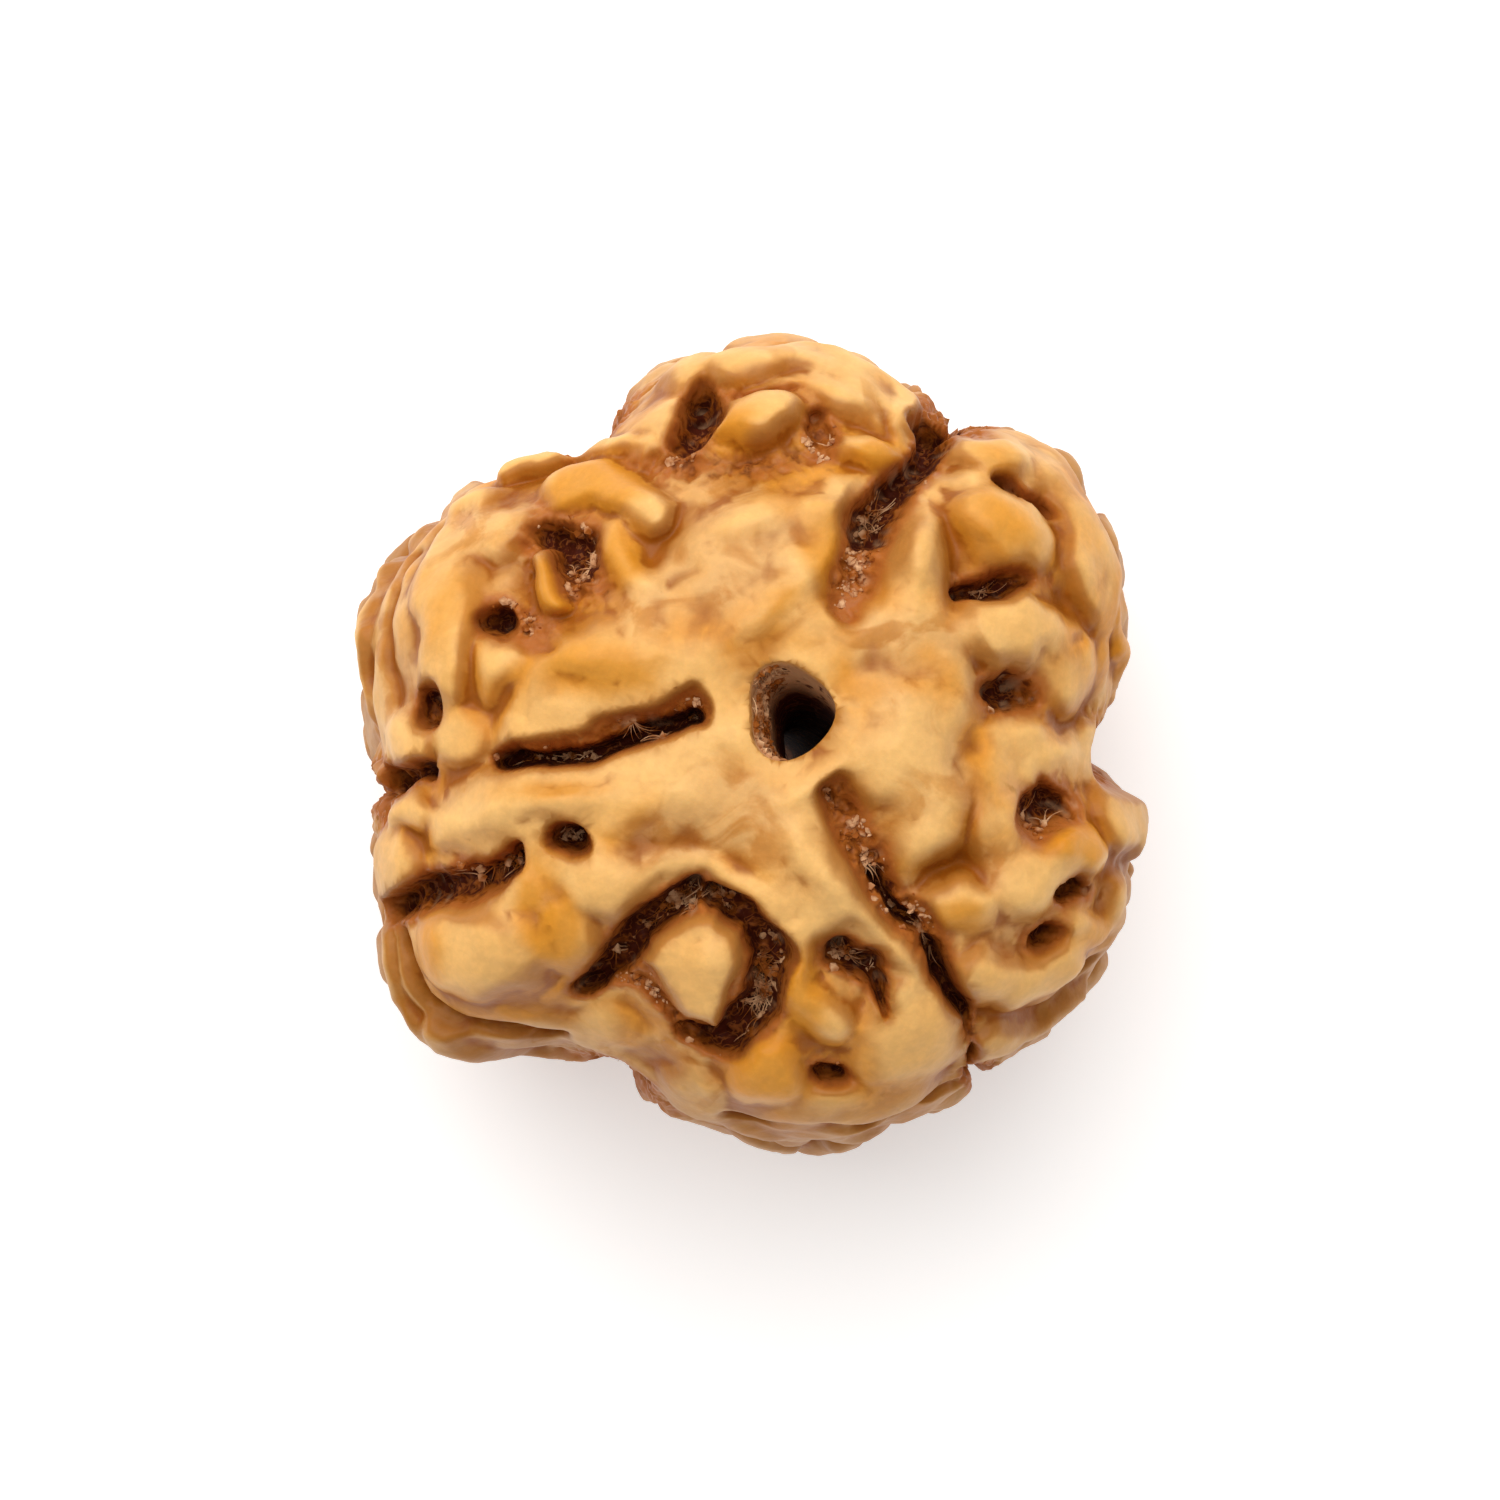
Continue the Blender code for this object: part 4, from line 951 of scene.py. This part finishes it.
def flakes(name, roots, normals, rng, size):
    """Small irregular crumbs of dried pulp, half sunk where they stick."""
    template = bmesh.new()
    bmesh.ops.create_icosphere(template, subdivisions=1, radius=1.0)
    mesh, own = repeated(name, template, len(roots))
    count = len(roots)
    along = unit(np.cross(normals, rng.normal(size=(count, 3))))
    side = np.cross(normals, along)
    bulk = 0.3 + 0.7 * rng.random(count) ** 2.5
    sizes = rng.uniform(0.5, 1.0, (count, 3)) * bulk[:, None] * size * MM
    dents = 1.0 + rng.uniform(-0.4, 0.4, (count, len(own)))
    return grown(name, mesh, roots, [
        (axis, sizes[:, column, None] * own[None, :, column] * dents)
        for column, axis in enumerate((along, side, normals))
    ])


def between(values, span):
    """Which values lie inside a span."""
    return (values > span[0]) & (values < span[1])


def show(thing, material, smooth=True):
    """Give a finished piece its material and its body."""
    thing.data.materials.clear()
    thing.data.materials.append(material)
    if smooth:
        thing.data.shade_smooth()
    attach(thing, "root")


class BeadColours(bpy.types.PropertyGroup):
    """Colours of the stone and of the lint in it, as sRGB hex."""

    tan: StringProperty(name="Tan", description="Main colour of the worn tops", default="#DE9434")
    tan_deep: StringProperty(name="Deep tan", description="Mottling of the tops", default="#C27C2E")
    pale: StringProperty(name="Pale", description="Paler clouds of the tops", default="#E4AE6A")
    # Pale of the raised tops: partly real wear, partly a painted highlight
    wear_and_highlight: StringProperty(name="Rubbed", description="The palest tops of knobs", default="#F8C478")
    # Painted shade of the lower side and of the side away from the lamp
    low_side_shade: StringProperty(name="Umber", description="The side and the back", default="#A4661E")
    # Ochre: painted shade on the shoulders, the slopes and in the broad hollows
    ochre: StringProperty(name="Ochre", description="Shoulders and slopes", default="#A8651C")
    gold: StringProperty(name="Gold", description="Golden knobs and edges", default="#D98D1E")
    # Brown: the real stain in the pits, the dark of the lint, and painted shade in the creases and small
    # hollows
    brown: StringProperty(name="Brown", description="Creases and hollows", default="#9A520A")
    rust: StringProperty(name="Rust", description="The stain round the pits", default="#B0662A")
    pit: StringProperty(name="Pit", description="The bottoms of the pits", default="#4C1600")
    lint: StringProperty(name="Lint", description="Pale dry fibre", default="#E0B285")
    lint_dark: StringProperty(name="Dark lint", description="Stained fibre", default="#87481A")


class BeadLint(bpy.types.PropertyGroup):
    """How much lint there is, and how long and thick its fibres are."""

    fibre_length: FloatProperty(
        name="Fibre length", description="Longest fibre", default=0.7 * MM, unit="LENGTH"
    )
    fibre_radius: FloatProperty(
        name="Fibre radius", description="Thickest fibre's radius", default=0.032 * MM, unit="LENGTH"
    )
    flake_size: FloatProperty(
        name="Flake size", description="Radius of the largest crumb", default=0.16 * MM, unit="LENGTH"
    )
    fibre_count: IntProperty(name="Fibres", description="Number of fibres", default=800, min=1)
    hole_fibre_count: IntProperty(
        name="Hole lint", description="Number of fibres, and of crumbs, in the hole", default=700, min=1
    )
    flake_count: IntProperty(name="Flakes", description="Number of crumbs", default=900, min=1)


class StudioView(bpy.types.PropertyGroup):
    """The camera and the light."""

    width: FloatProperty(
        name="View width", description="Width of the view at the waist", default=37.5 * MM, unit="LENGTH"
    )
    lens: FloatProperty(name="Lens", description="Focal length in millimetres", default=250.0)
    key: FloatProperty(name="Key light", description="Power of the lamp in watts", default=1.2)
    fill: FloatProperty(name="Fill light", description="Strength of the even light", default=0.43)


class BEAD_OT_stone(bpy.types.Operator):
    """Build the stone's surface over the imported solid"""

    bl_idname = "bead.stone"
    bl_label = "Stone"

    def execute(self, context):
        stone = stone_surface()
        thin = stone.modifiers.new("thin", "DECIMATE")
        thin.ratio = TRIANGLES / len(stone.data.polygons)
        bake(stone)
        for tool in (hole_tool(), floor_tool()):
            cut = stone.modifiers.new(tool.name, "BOOLEAN")
            cut.operation = "DIFFERENCE"
            cut.solver = "EXACT"
            cut.object = tool
            bake(stone)
            bpy.data.objects.remove(tool)
        middle, share = seat(stone, *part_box("bead"))
        write_looks(stone, middle, share)
        show(stone, waxed_fruit_stone(context.scene.bead_colours))
        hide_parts("bead")
        return {"FINISHED"}


class BEAD_OT_lint(bpy.types.Operator):
    """Put dry fibre and crumbs in the pits, the lines and the hole"""

    bl_idname = "bead.lint"
    bl_label = "Lint"

    def execute(self, context):
        stone = bpy.data.objects.get("bead_stone")
        if stone is None:
            raise RuntimeError("build the stone first")
        sizes, colours = context.scene.bead_lint, context.scene.bead_colours
        rng = np.random.default_rng(SEED + 9)
        spots, normals = corners(stone.data)
        level, stain, bore = (
            read(stone.data.attributes[name].data, "value") for name in ("level", "stain", "bore")
        )
        low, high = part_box("bead")
        waist = (low[2] + high[2]) / 2.0
        clear = (spots[:, 2] > waist + LINT_OVER_WAIST * MM) & (normals[:, 2] > 0.4) & (stain > LINT_STAIN)
        clump = np.array([fields.noise(Vector(spot) / (LINT_CLUMP * MM)) for spot in spots[clear]])
        clear[clear] = clump > 0.0
        clear &= bore < 0.5
        left = (spots[:, 0] < (HOLE_MOUTH[0] - LEFT_OF_MOUTH) * MM) & (spots[:, 2] > waist)
        lined = np.nonzero(between(level, WALL_LEVELS) & (bore > 0.5) & left)[0]
        deep, bank = (np.nonzero(between(level, span) & clear)[0] for span in (DEEP_LEVELS, BANK_LEVELS))
        chosen = np.concatenate((
            rng.choice(deep, sizes.fibre_count), rng.choice(lined, sizes.hole_fibre_count),
        ))
        hair = fibres("pit_fibres", spots[chosen], normals[chosen], rng,
                      sizes.fibre_length / MM, sizes.fibre_radius / MM, FIBRE_ARCH)
        show(hair, dry_lint("dry_pit_fibre", colours.lint, colours.brown))
        chosen = np.concatenate((
            rng.choice(deep, sizes.flake_count // 2), rng.choice(bank, sizes.flake_count // 2),
            rng.choice(lined, sizes.hole_fibre_count),
        ))
        crumbs = flakes("pit_crumbs", spots[chosen], normals[chosen], rng, sizes.flake_size / MM)
        show(crumbs, dry_lint("dried_pulp_crumbs", colours.lint, colours.brown), smooth=False)
        return {"FINISHED"}


class BEAD_OT_stage(bpy.types.Operator):
    """Set up the white light table, the soft light and the camera straight above"""

    bl_idname = "bead.stage"
    bl_label = "Stage"

    def execute(self, context):
        settings = context.scene.bead_view
        low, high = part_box("bead")
        shape = bmesh.new()
        bmesh.ops.create_grid(shape, x_segments=1, y_segments=1, size=TABLE_REACH)
        mesh = mesh_of("floor", shape)
        mesh.transform(Matrix.Translation((0.0, 0.0, low[2])))
        floor = new_object("floor", mesh)
        material, tree = new_material("white_light_table_floor")
        # Opal plastic lit from below gives the eye an even white ground with a faint shadow
        opal = add(tree, "ShaderNodeBsdfPrincipled", {
            "Base Color": (0.97, 0.97, 0.97, 1.0), "Roughness": 0.9, "IOR": 1.3,
            "Emission Color": (1.0, 1.0, 1.0, 1.0), "Emission Strength": TABLE_GLOW,
        })
        add(tree, "ShaderNodeOutputMaterial", {"Surface": opal})
        mesh.materials.append(material)

        waist = (low[2] + high[2]) / 2.0
        eye = bpy.data.cameras.new("camera")
        eye.lens = settings.lens
        eye.clip_start = 0.01
        camera = new_object("camera", eye)
        distance = settings.width * eye.lens / eye.sensor_width
        camera.location = (0.0, VIEW_MIDDLE_Y * MM, waist + distance)
        context.scene.camera = camera

        world = bpy.data.worlds.new("even_light")
        world.use_nodes = True
        sky = world.node_tree.nodes["Background"]
        sky.inputs["Color"].default_value = (1.0, 1.0, 1.0, 1.0)
        sky.inputs["Strength"].default_value = settings.fill
        context.scene.world = world
        lamp = bpy.data.lights.new("key", "AREA")
        lamp.shape = "DISK"
        lamp.size = LAMP_SIZE
        lamp.energy = settings.key
        lamp.color = LAMP_COLOUR
        key = new_object("key", lamp)
        key.location = LAMP_PLACE
        aim = Vector(LAMP_PLACE) - Vector((0.0, 0.0, waist))
        key.rotation_euler = aim.to_track_quat("Z", "Y").to_euler()
        context.scene.view_settings.view_transform = "Standard"
        return {"FINISHED"}


class BEAD_PT_panel(bpy.types.Panel):
    """The bead's pieces, in the order that they are made"""

    bl_idname = "BEAD_PT_panel"
    bl_label = "Rudraksha bead"
    bl_space_type = "VIEW_3D"
    bl_region_type = "UI"
    bl_category = "Bead"

    def draw(self, context):
        for operator in OPERATORS:
            self.layout.operator(operator.bl_idname)
        for group in (context.scene.bead_colours, context.scene.bead_lint, context.scene.bead_view):
            for name in group.__annotations__:
                self.layout.prop(group, name)


OPERATORS = (BEAD_OT_stage, BEAD_OT_stone, BEAD_OT_lint)
CLASSES = (BeadColours, BeadLint, StudioView, *OPERATORS, BEAD_PT_panel)


def register():
    for item in CLASSES:
        bpy.utils.register_class(item)
    bpy.types.Scene.bead_colours = PointerProperty(type=BeadColours)
    bpy.types.Scene.bead_lint = PointerProperty(type=BeadLint)
    bpy.types.Scene.bead_view = PointerProperty(type=StudioView)


def unregister():
    del bpy.types.Scene.bead_view
    del bpy.types.Scene.bead_lint
    del bpy.types.Scene.bead_colours
    for item in reversed(CLASSES):
        bpy.utils.unregister_class(item)


def main():
    register()
    bpy.ops.bead.stage()
    bpy.ops.bead.stone()
    bpy.ops.bead.lint()


if __name__ == "__main__":
    main()
